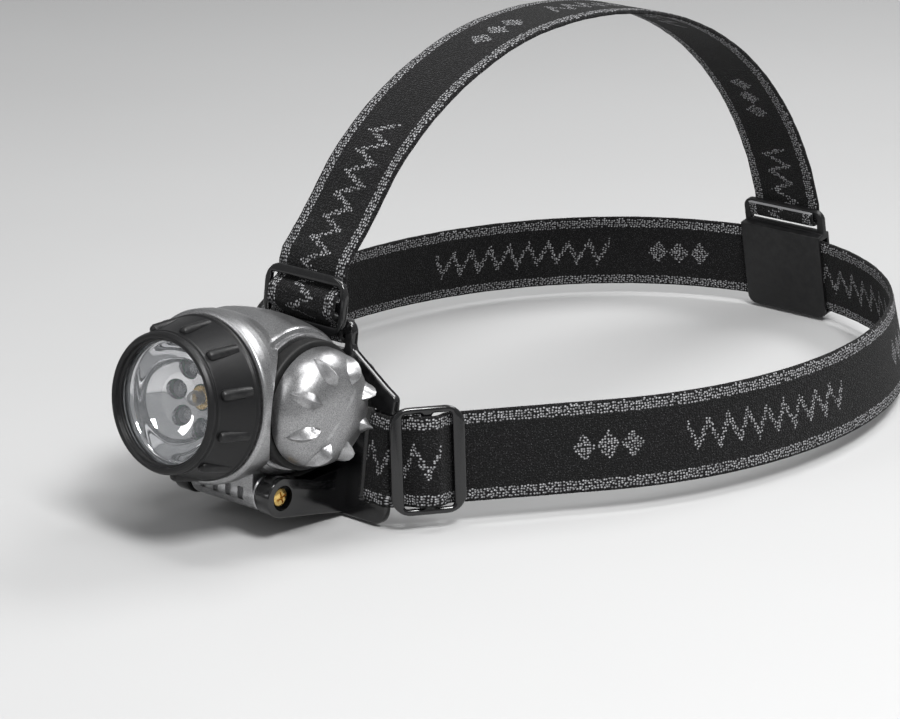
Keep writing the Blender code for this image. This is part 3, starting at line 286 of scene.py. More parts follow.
def webbing_group():
    """Knitted elastic: two light stripes, and diamonds and zigzags woven by turns on black.

    The strap's own map runs along and across it, one unit to the strap's width.
    """
    group, make = new_group(
        "knitted_webbing",
        [("Shift", FLOAT, 0.0)],
        [("Color", COLOUR), ("Height", FLOAT), ("Light Yarn", FLOAT)],
    )
    given = make.add("NodeGroupInput")
    out = make.add("NodeGroupOutput")
    weave = make.add("ShaderNodeUVMap", uv_map="weave").outputs["UV"]
    to_stitches = make.add("ShaderNodeVectorMath", operation="MULTIPLY")
    make.join(weave, to_stitches.inputs[0])
    to_stitches.inputs[1].default_value = (STRAP_WIDTH / STITCH_ALONG, STRAP_WIDTH / STITCH_ACROSS, 1)
    stitch = make.add("ShaderNodeTexVoronoi", voronoi_dimensions="2D")
    make.join(to_stitches.outputs[0], stitch.inputs["Vector"])
    stitch.inputs["Scale"].default_value = 1.0
    stitch.inputs["Randomness"].default_value = 0.62
    split = make.add("ShaderNodeSeparateXYZ")
    make.join(stitch.outputs["Position"], split.inputs[0])
    along = make.math("MULTIPLY", split.outputs["X"], STITCH_ALONG)
    across = make.math("MULTIPLY", split.outputs["Y"], STITCH_ACROSS)
    from_middle = make.math("SUBTRACT", across, STRAP_WIDTH / 2)
    rise = make.math("ABSOLUTE", from_middle)
    from_edge = make.math("SUBTRACT", STRAP_WIDTH / 2, rise)
    stripe = make.math(
        "MULTIPLY",
        make.math("GREATER_THAN", from_edge, STRIPE_OUT),
        make.math("LESS_THAN", from_edge, STRIPE_IN),
    )
    # The marks come in rows, a short one of diamonds and a long zigzag, and change stitch by stitch.
    travel = make.math("ADD", along, given.outputs["Shift"])
    place = make.math("FLOORED_MODULO", travel, REPEAT)
    short = make.math("LESS_THAN", place, SHORT_END)
    long = make.math(
        "MULTIPLY",
        make.math("GREATER_THAN", place, LONG_START),
        make.math("LESS_THAN", place, LONG_END),
    )
    row = make.math("MAXIMUM", short, long)
    offset = make.math("SUBTRACT", place, make.math("MULTIPLY", long, LONG_START))
    in_mark = make.math("SUBTRACT", make.math("FLOORED_MODULO", offset, MARK_PITCH), MARK_PITCH / 2)
    reach = make.math("ABSOLUTE", in_mark)
    diamond = make.math("LESS_THAN", make.math("ADD", reach, make.math("MULTIPLY", rise, 0.8)), DIAMOND_HALF)
    slope = 4 * ZIGZAG_HALF / MARK_PITCH
    line = make.math("SUBTRACT", make.math("MULTIPLY", reach, slope), ZIGZAG_HALF)
    line = make.math("ABSOLUTE", make.math("SUBTRACT", from_middle, line))
    zigzag = make.math("LESS_THAN", line, ZIGZAG_STROKE)
    mark = make.add("ShaderNodeMix", data_type="FLOAT")
    make.join(long, mark.inputs["Factor"])
    make.join(diamond, mark.inputs["A"])
    make.join(zigzag, mark.inputs["B"])
    mark = make.math("MULTIPLY", mark.outputs["Result"], row)
    light = make.math("MAXIMUM", stripe, mark)
    loop = make.between(stitch.outputs["Distance"], 0.44, 0.14)
    tone = make.add("ShaderNodeSeparateXYZ")
    make.join(stitch.outputs["Color"], tone.inputs[0])
    yarn = make.math("MULTIPLY", light, loop, clamp=True)
    yarn = make.math("MULTIPLY", yarn, make.between(tone.outputs["X"], 0, 1, 0.35, 1.0), clamp=True)
    # The black ground is heathered with finer grey fibres.
    fine = make.add("ShaderNodeTexVoronoi", voronoi_dimensions="2D")
    make.join(to_stitches.outputs[0], fine.inputs["Vector"])
    fine.inputs["Scale"].default_value = 2.3
    fine.inputs["Randomness"].default_value = 0.8
    fibre_tone = make.add("ShaderNodeSeparateXYZ")
    make.join(fine.outputs["Color"], fibre_tone.inputs[0])
    fibre = make.between(fibre_tone.outputs["Y"], 0.72, 1.0)
    fibre = make.math("MULTIPLY", fibre, make.between(fine.outputs["Distance"], 0.45, 0.1), clamp=True)
    ground = make.blend(fibre, YARN_BLACK, YARN_GREY)
    make.join(make.blend(yarn, ground, YARN_LIGHT), out.inputs["Color"])
    height = make.math("ADD", make.math("MULTIPLY", loop, 0.75), make.math("MULTIPLY", fibre, 0.25))
    make.join(height, out.inputs["Height"])
    make.join(yarn, out.inputs["Light Yarn"])
    return group


GRAIN, WEAR, DUST, KNIT = grain_group(), wear_group(), dust_group(), webbing_group()


# ---------------------------------------------------------------- materials
def new_material(name, roughness=0.5, metallic=0.0, **plain):
    material = bpy.data.materials.new(name)
    material.use_nodes = True
    make = Nodes(material.node_tree)
    shader = material.node_tree.nodes["Principled BSDF"]
    shader.inputs["Roughness"].default_value = roughness
    shader.inputs["Metallic"].default_value = metallic
    for label, value in plain.items():
        shader.inputs[label.replace("_", " ")].default_value = value
    return material, make, shader


def group_node(make, group, **values):
    node = make.add("ShaderNodeGroup", node_tree=group)
    for label, value in values.items():
        node.inputs[label].default_value = value
    return node


def moulded(name, colour, worn, rough, scale, depth, wear, dust, metallic=0.0, speckle=0.0, **plain):
    """Moulded or painted plastic: grain, cloudy tone, rubbed edges, scratches and a little dust."""
    material, make, shader = new_material(name, 0.5, metallic, **plain)
    grain = group_node(make, GRAIN, Scale=scale, Depth=depth)
    rubbed = group_node(make, WEAR, Amount=wear)
    settled = group_node(make, DUST, Amount=dust)
    tone = make.between(grain.outputs["Cloud"], 0.3, 0.7, 0.86, 1.1)
    flecks = make.between(grain.outputs["Grain"], 0.35, 0.65, 1 - speckle, 1 + speckle)
    shade = make.math("MULTIPLY", tone, flecks)
    base = make.add("ShaderNodeVectorMath", operation="SCALE")
    base.inputs[0].default_value = colour
    make.join(shade, base.inputs["Scale"])
    body = make.blend(rubbed.outputs["Edge"], base.outputs[0], (*worn, 1))
    body = make.blend(settled.outputs["Dust"], body, DUST_COLOUR)
    make.join(body, shader.inputs["Base Color"])
    surface = make.between(grain.outputs["Cloud"], 0.3, 0.7, rough[0], rough[1])
    surface = make.math("ADD", surface, make.math("MULTIPLY", rubbed.outputs["Scratch"], 0.18), clamp=True)
    surface = make.math("ADD", surface, make.math("MULTIPLY", settled.outputs["Dust"], 0.3), clamp=True)
    make.join(surface, shader.inputs["Roughness"])
    make.join(grain.outputs["Normal"], shader.inputs["Normal"])
    return material


def wire_sleeve(name, colour, worn):
    return moulded(name, colour, worn, rough=(0.3, 0.4), scale=1500.0, depth=0.2, wear=0.2, dust=0.0)


def webbing_material(name, shift):
    """The shift slides the woven marks along the strap, in millimetres."""
    sheen = {"Sheen_Weight": 0.03, "Sheen_Roughness": 0.5}
    material, make, shader = new_material(name, 0.9, Specular_IOR_Level=0.25, **sheen)
    knit = group_node(make, KNIT, Shift=shift)
    make.join(knit.outputs["Color"], shader.inputs["Base Color"])
    make.join(make.between(knit.outputs["Light Yarn"], 0, 1, 0.92, 0.62), shader.inputs["Roughness"])
    make.join(make.bump(knit.outputs["Height"], 0.85, 0.00035), shader.inputs["Normal"])
    return material


def metal(name, colour, dull, rough, scale=900.0):
    """Bare metal with a cloudy polish and a few dull specks."""
    material, make, shader = new_material(name, 0.2, 1.0)
    place = make.add("ShaderNodeTexCoord").outputs["Object"]
    tarnish = make.between(make.noise(place, scale, 5.0, 0.6), 0.35, 0.75)
    make.join(make.blend(tarnish, (*colour, 1), (*dull, 1)), shader.inputs["Base Color"])
    make.join(make.between(tarnish, 0, 1, rough[0], rough[1]), shader.inputs["Roughness"])
    make.join(make.bump(tarnish, 0.06, 0.00003), shader.inputs["Normal"])
    return material


def clear_material(name, colour, low, high, rough):
    """Thin clear plastic or glass: faint face on, and more opaque where it turns away, so its grey colour
    there is a painted reflection.
    """
    material, make, shader = new_material(name, rough, 0.0)
    place = make.add("ShaderNodeTexCoord").outputs["Object"]
    haze = make.between(make.noise(place, 260.0, 5.0, 0.6), 0.45, 0.8)
    make.join(make.blend(haze, (*colour, 1), (0.75, 0.76, 0.78, 1)), shader.inputs["Base Color"])
    # Painted reflection: the cover rises with the Fresnel term, so the grey base colour shows at grazing
    # angles in place of a reflection.
    facing = make.add("ShaderNodeFresnel")
    facing.inputs["IOR"].default_value = 1.55
    painted_reflection_cover = make.between(facing.outputs[0], 0.03, 0.6, low, high)
    cover = make.math("ADD", painted_reflection_cover, make.math("MULTIPLY", haze, 0.008), clamp=True)
    make.join(cover, shader.inputs["Alpha"])
    return material


def foam_material():
    material, make, shader = new_material("pad_foam", 0.95)
    place = make.add("ShaderNodeTexCoord").outputs["Object"]
    pores = make.add("ShaderNodeTexVoronoi")
    make.join(place, pores.inputs["Vector"])
    pores.inputs["Scale"].default_value = 1500.0
    # The pores are sunk by the bump, and their hollows are painted darker: painted shade.
    pore_depth_and_shade = make.between(pores.outputs["Distance"], 0.1, 0.6)
    shade = make.blend(pore_depth_and_shade, (0.006, 0.006, 0.006, 1), (0.05, 0.05, 0.052, 1))
    make.join(shade, shader.inputs["Base Color"])
    make.join(make.bump(pore_depth_and_shade, 0.8, 0.0003), shader.inputs["Normal"])
    return material


def board_material():
    material, make, shader = new_material("green_board", 0.35)
    place = make.add("ShaderNodeTexCoord").outputs["Object"]
    glass = make.add("ShaderNodeTexBrick")
    make.join(place, glass.inputs["Vector"])
    glass.inputs["Scale"].default_value = 620.0
    glass.inputs["Color1"].default_value = (0.012, 0.16, 0.05, 1)
    glass.inputs["Color2"].default_value = (0.01, 0.12, 0.04, 1)
    glass.inputs["Mortar"].default_value = (0.02, 0.22, 0.08, 1)
    tracks = make.between(make.noise(place, 190.0, 1.0, 0.4), 0.56, 0.58)
    make.join(make.blend(tracks, glass.outputs["Color"], (0.03, 0.3, 0.12, 1)), shader.inputs["Base Color"])
    make.join(make.bump(tracks, 0.4, 0.00005), shader.inputs["Normal"])
    return material


def cell_material():
    """Cell jacket: plain blue sleeve with a copper-toned band at its plus end."""
    material, make, shader = new_material("cell_sleeve", 0.28, 0.4)
    place = make.add("ShaderNodeTexCoord").outputs["Object"]
    split = make.add("ShaderNodeSeparateXYZ")
    make.join(place, split.inputs[0])
    band = make.math("GREATER_THAN", split.outputs["X"], 0.012)
    grain = make.between(make.noise(place, 700.0, 3.0, 0.5), 0.3, 0.7, 0.85, 1.1)
    colour = make.blend(band, (0.03, 0.07, 0.2, 1), (0.62, 0.33, 0.13, 1))
    toned = make.add("ShaderNodeVectorMath", operation="SCALE")
    make.join(colour, toned.inputs[0])
    make.join(grain, toned.inputs["Scale"])
    make.join(toned.outputs[0], shader.inputs["Base Color"])
    make.join(make.between(grain, 0.85, 1.1, 0.38, 0.2), shader.inputs["Roughness"])
    return material


def floor_material():
    material, make, shader = new_material("pale_floor", 0.75)
    place = make.add("ShaderNodeTexCoord").outputs["Object"]
    tone = make.noise(place, 6.0, 3.0, 0.5)
    make.join(make.blend(tone, (0.46, 0.46, 0.46, 1), (0.49, 0.49, 0.49, 1)), shader.inputs["Base Color"])
    return material


LOOKS = {
    "silver_plastic": moulded(
        "silver_paint",
        colour=(0.34, 0.34, 0.345),
        worn=(0.6, 0.6, 0.61),
        rough=(0.26, 0.36),
        scale=3200.0,
        depth=0.5,
        wear=0.6,
        dust=0.03,
        metallic=0.92,
        speckle=0.3,
    ),
    "black_plastic": moulded(
        "satin_black",
        colour=(0.0065, 0.0065, 0.007),
        worn=(0.04, 0.04, 0.04),
        rough=(0.32, 0.42),
        scale=3000.0,
        depth=0.5,
        wear=0.3,
        dust=0.01,
        Specular_IOR_Level=0.3,
    ),
    "gloss_black": moulded(
        "gloss_black",
        colour=(0.0035, 0.0035, 0.004),
        worn=(0.06, 0.06, 0.06),
        rough=(0.1, 0.18),
        scale=2400.0,
        depth=0.12,
        wear=0.3,
        dust=0.01,
        Coat_Weight=0.3,
        Coat_Roughness=0.08,
    ),
    "rubber": moulded(
        "soft_rubber",
        colour=(0.007, 0.007, 0.007),
        worn=(0.03, 0.03, 0.03),
        rough=(0.5, 0.65),
        scale=1800.0,
        depth=0.4,
        wear=0.3,
        dust=0.03,
        Specular_IOR_Level=0.3,
    ),
    "chrome": metal("vacuum_chrome", (0.93, 0.93, 0.94), (0.86, 0.86, 0.87), (0.02, 0.06), 300.0),
    "brass": metal("brass", (0.83, 0.58, 0.2), (0.55, 0.36, 0.12), (0.18, 0.4)),
    "steel": metal("zinc_steel", (0.66, 0.66, 0.67), (0.45, 0.45, 0.46), (0.2, 0.38)),
    "clear_lens": clear_material("clear_lens", (0.5, 0.52, 0.54), 0.015, 0.3, 0.02),
    "led_epoxy": clear_material("clear_epoxy", (0.4, 0.42, 0.46), 0.1, 0.8, 0.03),
    "bulb_glass": clear_material("bulb_glass", (0.5, 0.5, 0.5), 0.08, 0.8, 0.02),
    "foam": foam_material(),
    "circuit_board": board_material(),
    "red_wire": wire_sleeve("red_sleeve", (0.5, 0.015, 0.01), (0.5, 0.1, 0.08)),
    "black_wire": wire_sleeve("black_sleeve", (0.02, 0.02, 0.02), (0.08, 0.08, 0.08)),
    "cell_jacket": cell_material(),
    "head_webbing": webbing_material("head_webbing", 55.0),
    "top_webbing": webbing_material("top_webbing", 20.0),
}


# ---------------------------------------------------------------- modelling helpers
DOUBLES_WITHIN, SLIVERS_WITHIN = 0.000003, 0.00001
CLOSING_REACH = 0.004


def clear_selection():
    bpy.ops.object.select_all(action="DESELECT")


def only(piece):
    clear_selection()
    piece.select_set(True)
    bpy.context.view_layer.objects.active = piece


def pick(piece, test):
    """In edit mode, selects the corners whose place in millimetres passes the test."""
    bpy.ops.mesh.select_mode(type="VERT")
    bpy.ops.mesh.select_all(action="DESELECT")
    mesh = bmesh.from_edit_mesh(piece.data)
    where = piece.matrix_world
    for corner in mesh.verts:
        corner.select_set(bool(test((where @ corner.co) / MM)))
    mesh.select_flush_mode()
    bmesh.update_edit_mesh(piece.data)


def chain(name, points, closed=False):
    """A line of points, drawn by pulling one corner out from point to point. It stays in edit mode."""
    clear_selection()
    bpy.ops.mesh.primitive_plane_add(size=MM, location=(0, 0, 0))
    piece = bpy.context.object
    piece.name = piece.data.name = name
    bpy.ops.object.mode_set(mode="EDIT")
    bpy.ops.mesh.select_mode(type="VERT")
    bpy.ops.mesh.select_all(action="SELECT")
    bpy.ops.mesh.merge(type="CENTER")
    bpy.ops.transform.translate(value=Vector(points[0]) * MM)
    for here, ahead in zip(points, points[1:]):
        step = (Vector(ahead) - Vector(here)) * MM
        bpy.ops.mesh.extrude_vertices_move(TRANSFORM_OT_translate={"value": step})
    if closed:
        ends = (Vector(points[0]), Vector(points[-1]))
        pick(piece, lambda place: min((place - end).length for end in ends) < CLOSING_REACH)
        bpy.ops.mesh.edge_face_add()
    return piece


WAYS = {
    "X": (Vector((1, 0, 0)), Vector((0, 0, 1))),
    "Y": (Vector((0, 1, 0)), Vector((1, 0, 0))),
    "Z": (Vector((0, 0, 1)), Vector((1, 0, 0))),
}


def turned(name, profile, axis="Y", centre=(0, 0, 0), steps=96, closed=True):
    """Spins a profile of (radius, distance along the axis) points round an axis."""
    along, out = WAYS[axis]
    middle = Vector(centre)
    piece = chain(name, [middle + out * radius + along * reach for radius, reach in profile], closed)
    bpy.ops.mesh.select_all(action="SELECT")
    bpy.ops.mesh.spin(steps=steps, angle=FULL_TURN, center=middle * MM, axis=along)
    tidy_mesh()
    bpy.ops.object.mode_set(mode="OBJECT")
    return piece


def tidy_mesh():
    bpy.ops.mesh.select_all(action="SELECT")
    bpy.ops.mesh.remove_doubles(threshold=DOUBLES_WITHIN)
    bpy.ops.mesh.normals_make_consistent(inside=False)


def prism(name, outline, low, high, plane="XZ"):
    """A flat outline pulled out into a block: in plane XZ along y, in YZ along x, in XY along z."""
    place = {
        "XZ": lambda a, b: (a, low, b),
        "YZ": lambda a, b: (low, a, b),
        "XY": lambda a, b: (a, b, low),
    }[plane]
    pull = {"XZ": (0, high - low, 0), "YZ": (high - low, 0, 0), "XY": (0, 0, high - low)}[plane]
    piece = chain(name, [place(a, b) for a, b in outline], closed=True)
    bpy.ops.mesh.select_all(action="SELECT")
    bpy.ops.mesh.edge_face_add()
    bpy.ops.mesh.select_all(action="SELECT")
    bpy.ops.mesh.extrude_region_move(TRANSFORM_OT_translate={"value": Vector(pull) * MM})
    tidy_mesh()
    bpy.ops.object.mode_set(mode="OBJECT")
    return piece


def apply_all(piece):
    only(piece)
    for modifier in list(piece.modifiers):
        bpy.ops.object.modifier_apply(modifier=modifier.name)


def bevelled(piece, width, segments=3, angle=30):
    """Rounds every edge that turns more than the angle."""
    modifier = piece.modifiers.new("round", "BEVEL")
    modifier.width = width * MM
    modifier.segments = segments
    modifier.limit_method = "ANGLE"
    modifier.angle_limit = math.radians(angle)
    apply_all(piece)
    return piece


def combine(piece, other, operation="DIFFERENCE"):
    """Cuts the other shape out of a piece, or adds it, and takes the other shape away."""
    modifier = piece.modifiers.new("combine", "BOOLEAN")
    modifier.operation = operation
    modifier.solver = "EXACT"
    modifier.object = other
    apply_all(piece)
    bpy.data.objects.remove(other, do_unlink=True)
    return piece


def close_slivers(piece):
    """Merges the hair-thin faces that a row of cuts leaves, which would keep the mesh from closing."""
    only(piece)
    bpy.ops.object.mode_set(mode="EDIT")
    bpy.ops.mesh.select_all(action="SELECT")
    bpy.ops.mesh.remove_doubles(threshold=SLIVERS_WITHIN)
    bpy.ops.mesh.dissolve_degenerate(threshold=SLIVERS_WITHIN)
    bpy.ops.object.mode_set(mode="OBJECT")


def put(piece, matrix):
    """Places a piece and keeps the place in its mesh."""
    piece.matrix_world = matrix
    only(piece)
    bpy.ops.object.transform_apply(location=True, rotation=True, scale=True)
    return piece


def along_ways(ways, origin):
    """A matrix whose axes are three ways, with its origin at a point in millimetres."""
    place = Matrix(ways).transposed().to_4x4()
    place.translation = origin * MM
    return place


def copied(piece, name):
    other = piece.copy()
    other.data = piece.data.copy()
    other.name = other.data.name = name
    bpy.context.scene.collection.objects.link(other)
    return other


def mirrored(piece, name):
    """The same shape on the other side, with its faces turned to point outwards again."""
    other = put(copied(piece, name), Matrix.Scale(-1, 4, (1, 0, 0)))
    only(other)
    bpy.ops.object.mode_set(mode="EDIT")
    bpy.ops.mesh.select_all(action="SELECT")
    bpy.ops.mesh.normals_make_consistent(inside=False)
    bpy.ops.object.mode_set(mode="OBJECT")
    return other


def hand_over(piece, look, body, nodes, angle=32):
    """Smooths a finished piece, gives it its material and puts it on its body."""
    only(piece)
    bpy.ops.object.shade_smooth_by_angle(angle=math.radians(angle))
    piece.data.materials.clear()
    piece.data.materials.append(LOOKS[look])
    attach(piece, body)
    if nodes:
        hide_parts(*nodes)
    return piece


def rounded(corners, radius, steps=6, closed=True):
    """A line of flat points whose corners are rounded with arcs."""
    line = []
    count = len(corners)
    for index, corner in enumerate(corners):
        here = Vector(corner)
        size = radius[index] if isinstance(radius, (list, tuple)) else radius
        if size <= 0 or (not closed and index in (0, count - 1)):
            line.append(tuple(here))
            continue
        before = Vector(corners[index - 1]) - here
        after = Vector(corners[(index + 1) % count]) - here
        half = before.angle(after) / 2
        if half > math.radians(88):
            line.append(tuple(here))
            continue
        reach = min(size / math.tan(half), before.length * 0.48, after.length * 0.48)
        size = reach * math.tan(half)
        before.normalize()
        after.normalize()
        centre = here + (before + after).normalized() * size / math.sin(half)
        start, end = here + before * reach - centre, here + after * reach - centre
        swing = start.angle_signed(end)
        for step in range(steps + 1):
            angle = -swing * step / steps
            line.append(
                (
                    centre.x + start.x * math.cos(angle) - start.y * math.sin(angle),
                    centre.y + start.x * math.sin(angle) + start.y * math.cos(angle),
                )
            )
    return line


def arc(centre, radius, start, end, steps):
    return [
        (
            centre[0] + radius * math.cos(math.radians(start + (end - start) * step / steps)),
            centre[1] + radius * math.sin(math.radians(start + (end - start) * step / steps)),
        )
        for step in range(steps + 1)
    ]


def block_cutter(low, high, radius=0.0, plane="XZ"):
    """A block with two corners given, rounded along the direction it is pulled in."""
    axes = {"XZ": (0, 2, 1), "YZ": (1, 2, 0), "XY": (0, 1, 2)}[plane]
    a, b, depth = axes
    corners = [(low[a], low[b]), (high[a], low[b]), (high[a], high[b]), (low[a], high[b])]
    return prism("cutter", rounded(corners, radius, 4), low[depth], high[depth], plane)


# ---------------------------------------------------------------- base plate, pad and screws
PLATE_FRONT, PLATE_BACK = 20.0, 22.5
EAR_HALF_WIDTH, EAR_MIDDLE = 32.5, -15.0
EAR_SLOT_IN, EAR_SLOT_OUT = 22.6, 27.0
TOP_SLOT_LOW, TOP_SLOT_HIGH = 11.6, 16.0
TOP_SLOT_HALF = 13
EDGE_CLEAR = 0.6
PLATE_LOW, PLATE_TOP, NECK_HALF_WIDTH = -33.4, 20.0, 15.6
LUG_IN, LUG_OUT, LUG_RADIUS = 12.8, 18.0, 5.6
SCREW_BORE, SCREW_WELL, WELL_FLOOR = 1.8, 3.5, 15.8
THROUGH = 3


def rod_cutter(radius, ends, axis="X", centre=(0, 0, 0), steps=40):
    """A plain rod between two distances along an axis, given in either order."""
    low, high = sorted(ends)
    return turned("cutter", [(0, low), (radius, low), (radius, high), (0, high)], axis, centre, steps, False)


def plate_slot(low_corner, high_corner):
    """A cutter for a webbing slot, from (x, z) corners, that goes right through the plate."""
    (low_x, low_z), (high_x, high_z) = low_corner, high_corner
    front, back = PLATE_FRONT - THROUGH, PLATE_BACK + THROUGH
    return block_cutter((low_x, front, low_z), (high_x, back, high_z), 1.0)


def make_base_plate():
    right = [
        (EAR_HALF_WIDTH, PLATE_LOW),
        (EAR_HALF_WIDTH, 2.2),
        (28.6, 4.3),
        (NECK_HALF_WIDTH, 12.4),
        (NECK_HALF_WIDTH, PLATE_TOP),
    ]
    corners = [(-EAR_HALF_WIDTH, PLATE_LOW)] + right + [(-x, z) for x, z in reversed(right[1:])]
    outline = rounded(corners, [4, 4, 2, 4, 2.5, 4, 4, 2.5, 4, 2], 8)
    plate = bevelled(prism("base_plate_shell", outline, PLATE_FRONT, PLATE_BACK), 0.5)
    _, hinge_y, hinge_z = HINGE
    slot_low = EAR_MIDDLE - STRAP_WIDTH / 2 - EDGE_CLEAR
    slot_high = EAR_MIDDLE + STRAP_WIDTH / 2 + EDGE_CLEAR
    for side in (1, -1):
        arm = arc((hinge_y, hinge_z), LUG_RADIUS, 78, 262, 24)
        arm += [(8.0, -31.8), (21.2, -32.8), (21.2, -19.0), (6.0, -21.8)]
        low, high = sorted((side * LUG_IN, side * LUG_OUT))
        lug = bevelled(prism("lug", arm, low, high, "YZ"), 0.45, 3, 25)
        combine(plate, lug, "UNION")
        combine(plate, rod_cutter(SCREW_BORE, (low - 1, high + 1), "X", HINGE, 32))
        combine(plate, rod_cutter(SCREW_WELL, (side * WELL_FLOOR, side * (LUG_OUT + 1)), "X", HINGE))
        low, high = sorted((side * EAR_SLOT_IN, side * EAR_SLOT_OUT))
        combine(plate, plate_slot((low, slot_low), (high, slot_high)))
    combine(plate, plate_slot((-TOP_SLOT_HALF, TOP_SLOT_LOW), (TOP_SLOT_HALF, TOP_SLOT_HIGH)))
    put(plate, LAMP)
    hand_over(plate, "gloss_black", "base", ["base_plate"])


def make_foam_pad():
    """Closed-cell foam pad with rounded corners and softened edges."""
    corners = [(-19, -28.5), (19, -28.5), (19, 8), (-19, 8)]
    pad = bevelled(prism("pad", rounded(corners, 5, 8), PLATE_BACK + 0.3, PAD_BACK), 1.3, 4)
    put(pad, LAMP)
    hand_over(pad, "foam", "base", ["foam_pad"], 50)


CROSS_REACH, CROSS_HALF, CROSS_FLOOR, CROSS_TURN = 1.75, 0.28, 16.7, math.radians(24)


def make_hinge_screws():
    """Cross-head screws, each turned a little so that the crosses don't line up with the plate."""
    _, hinge_y, hinge_z = HINGE
    profile = [
        (0, 7.5),
        (1.2, 7.5),
        (1.35, 7.8),
        (1.35, 16.1),
        (2.6, 16.1),
        (2.6, 16.8),
        (2.45, 17.1),
        (2.0, 17.35),
        (1.2, 17.48),
        (0, 17.5),
    ]
    for side, label in ((1, "right"), (-1, "left")):
        screw = turned("screw", [(r, side * x) for r, x in profile], "X", HINGE, 40, False)
        low, high = sorted((side * CROSS_FLOOR, side * 18.5))
        for a, b in ((CROSS_REACH, CROSS_HALF), (CROSS_HALF, CROSS_REACH)):
            cross = block_cutter((low, hinge_y - a, hinge_z - b), (high, hinge_y + a, hinge_z + b), 0, "YZ")
            combine(screw, cross)
        turn = Matrix.Translation(Vector(HINGE) * MM) @ Matrix.Rotation(CROSS_TURN, 4, "X")
        put(screw, LAMP @ turn @ Matrix.Translation(-Vector(HINGE) * MM))
        screw.name = screw.data.name = "hinge_screw_head_" + label
        hand_over(screw, "brass", "base", ["hinge_screw_" + label])


# ---------------------------------------------------------------- straps, glides and rear junction
GLIDE_THICKNESS, GLIDE_BAR = 1.8, 2.8
STRAP_THICKNESS = 1.4
CLEAR = 0.35
GLIDE_LEVEL = GLIDE_THICKNESS / 2 + CLEAR + STRAP_THICKNESS / 2
SIDE_GLIDE = (21.0, 29.6, 3.6)
TOP_GLIDE = (16.6, 30.0, 2.8)
TOP_GLIDE_LOW, SIDE_GLIDE_START = 15.0, 0.3
STRAP_GAP = 0.3
EAR_FRONT = PLATE_FRONT - STRAP_GAP - STRAP_THICKNESS / 2
EAR_REAR = PLATE_BACK + STRAP_GAP + STRAP_THICKNESS / 2
EAR_CENTRE, EAR_BEND = (EAR_REAR + EAR_FRONT) / 2, (EAR_REAR - EAR_FRONT) / 2
EAR_LEAVE = Vector((EAR_HALF_WIDTH + 0.7, EAR_FRONT - 0.7))
RUN_START = to_world((EAR_LEAVE.x, EAR_LEAVE.y, EAR_MIDDLE))
FOLD_ANGLES = [math.pi * step / 16 for step in range(17)]
BAND_STEPS, TAIL_TRAVEL = 96, (13.5, 11.5, 9.5)
BAND_HALF_WIDTH, BAND_HALF_LENGTH = 88.8, 110.8
BAND_FRONT, BAND_DROP = -8.5, 3.2
SIDE_LEAN = math.radians(12)
JUNCTION_SLOT_LOW, JUNCTION_SLOT_HIGH, JUNCTION_TOP = 15.6, 19.8, 22.6
JUNCTION_HALF_WIDTH, JUNCTION_INSIDE, JUNCTION_OUTSIDE = 15.4, -3.9, 2.2
CROWN_ROUTE = [
    (-3.2, 41.4),
    (5.4, 50.2),
    (17.6, 64.2),
    (32.8, 75.6),
    (50.0, 84.0),
    (70.0, 90.0),
    (92.0, 92.2),
    (114.0, 91.2),
    (136.0, 87.0),
    (157.0, 79.4),
    (176.0, 68.6),
    (192.0, 55.0),
    (204.5, 40.0),
    (213.5, 25.0),
]


def glide_wave(travel, size):
    """How far the webbing stands out as it runs under, over and under the bars of a glide."""
    length, _, end_bar = size
    middle = abs(travel - length / 2)
    edge = length / 2 - end_bar - 0.2
    if middle <= GLIDE_BAR / 2:
        return GLIDE_LEVEL
    if middle >= edge:
        return -GLIDE_LEVEL
    return GLIDE_LEVEL * math.cos(math.pi * (middle - GLIDE_BAR / 2) / (edge - GLIDE_BAR / 2))


def band_point(angle):
    y = BAND_HALF_LENGTH * (1 - math.cos(angle))
    return Vector((BAND_HALF_WIDTH * math.sin(angle), y, BAND_FRONT - BAND_DROP * y / (2 * BAND_HALF_LENGTH)))


def band_heading(angle):
    return Vector((BAND_HALF_WIDTH * math.cos(angle), BAND_HALF_LENGTH * math.sin(angle), 0))


def band_tangent():
    """Where on the band's oval the straight run from the ear meets it."""
    low, high = math.radians(20), math.radians(80)
    for _ in range(40):
        middle = (low + high) / 2
        run = band_point(middle) - RUN_START
        heading = band_heading(middle)
        if run.x * heading.y - run.y * heading.x > 0:
            high = middle
        else:
            low = middle
    return middle


BAND_START = band_tangent()


def width_way(run, lean):
    """The way across a strap that runs along and leans back from upright."""
    outward = Vector((run.y, -run.x, 0)).normalized()
    return (Vector((0, 0, math.cos(lean))) - outward * math.sin(lean)).normalized()


def run_frame():
    """Direction, outward way and length of the straight run beside the ear."""
    run = band_point(BAND_START) - RUN_START
    length = run.length
    run.normalize()
    return run, run.cross(width_way(run, LEAN)).normalized(), length


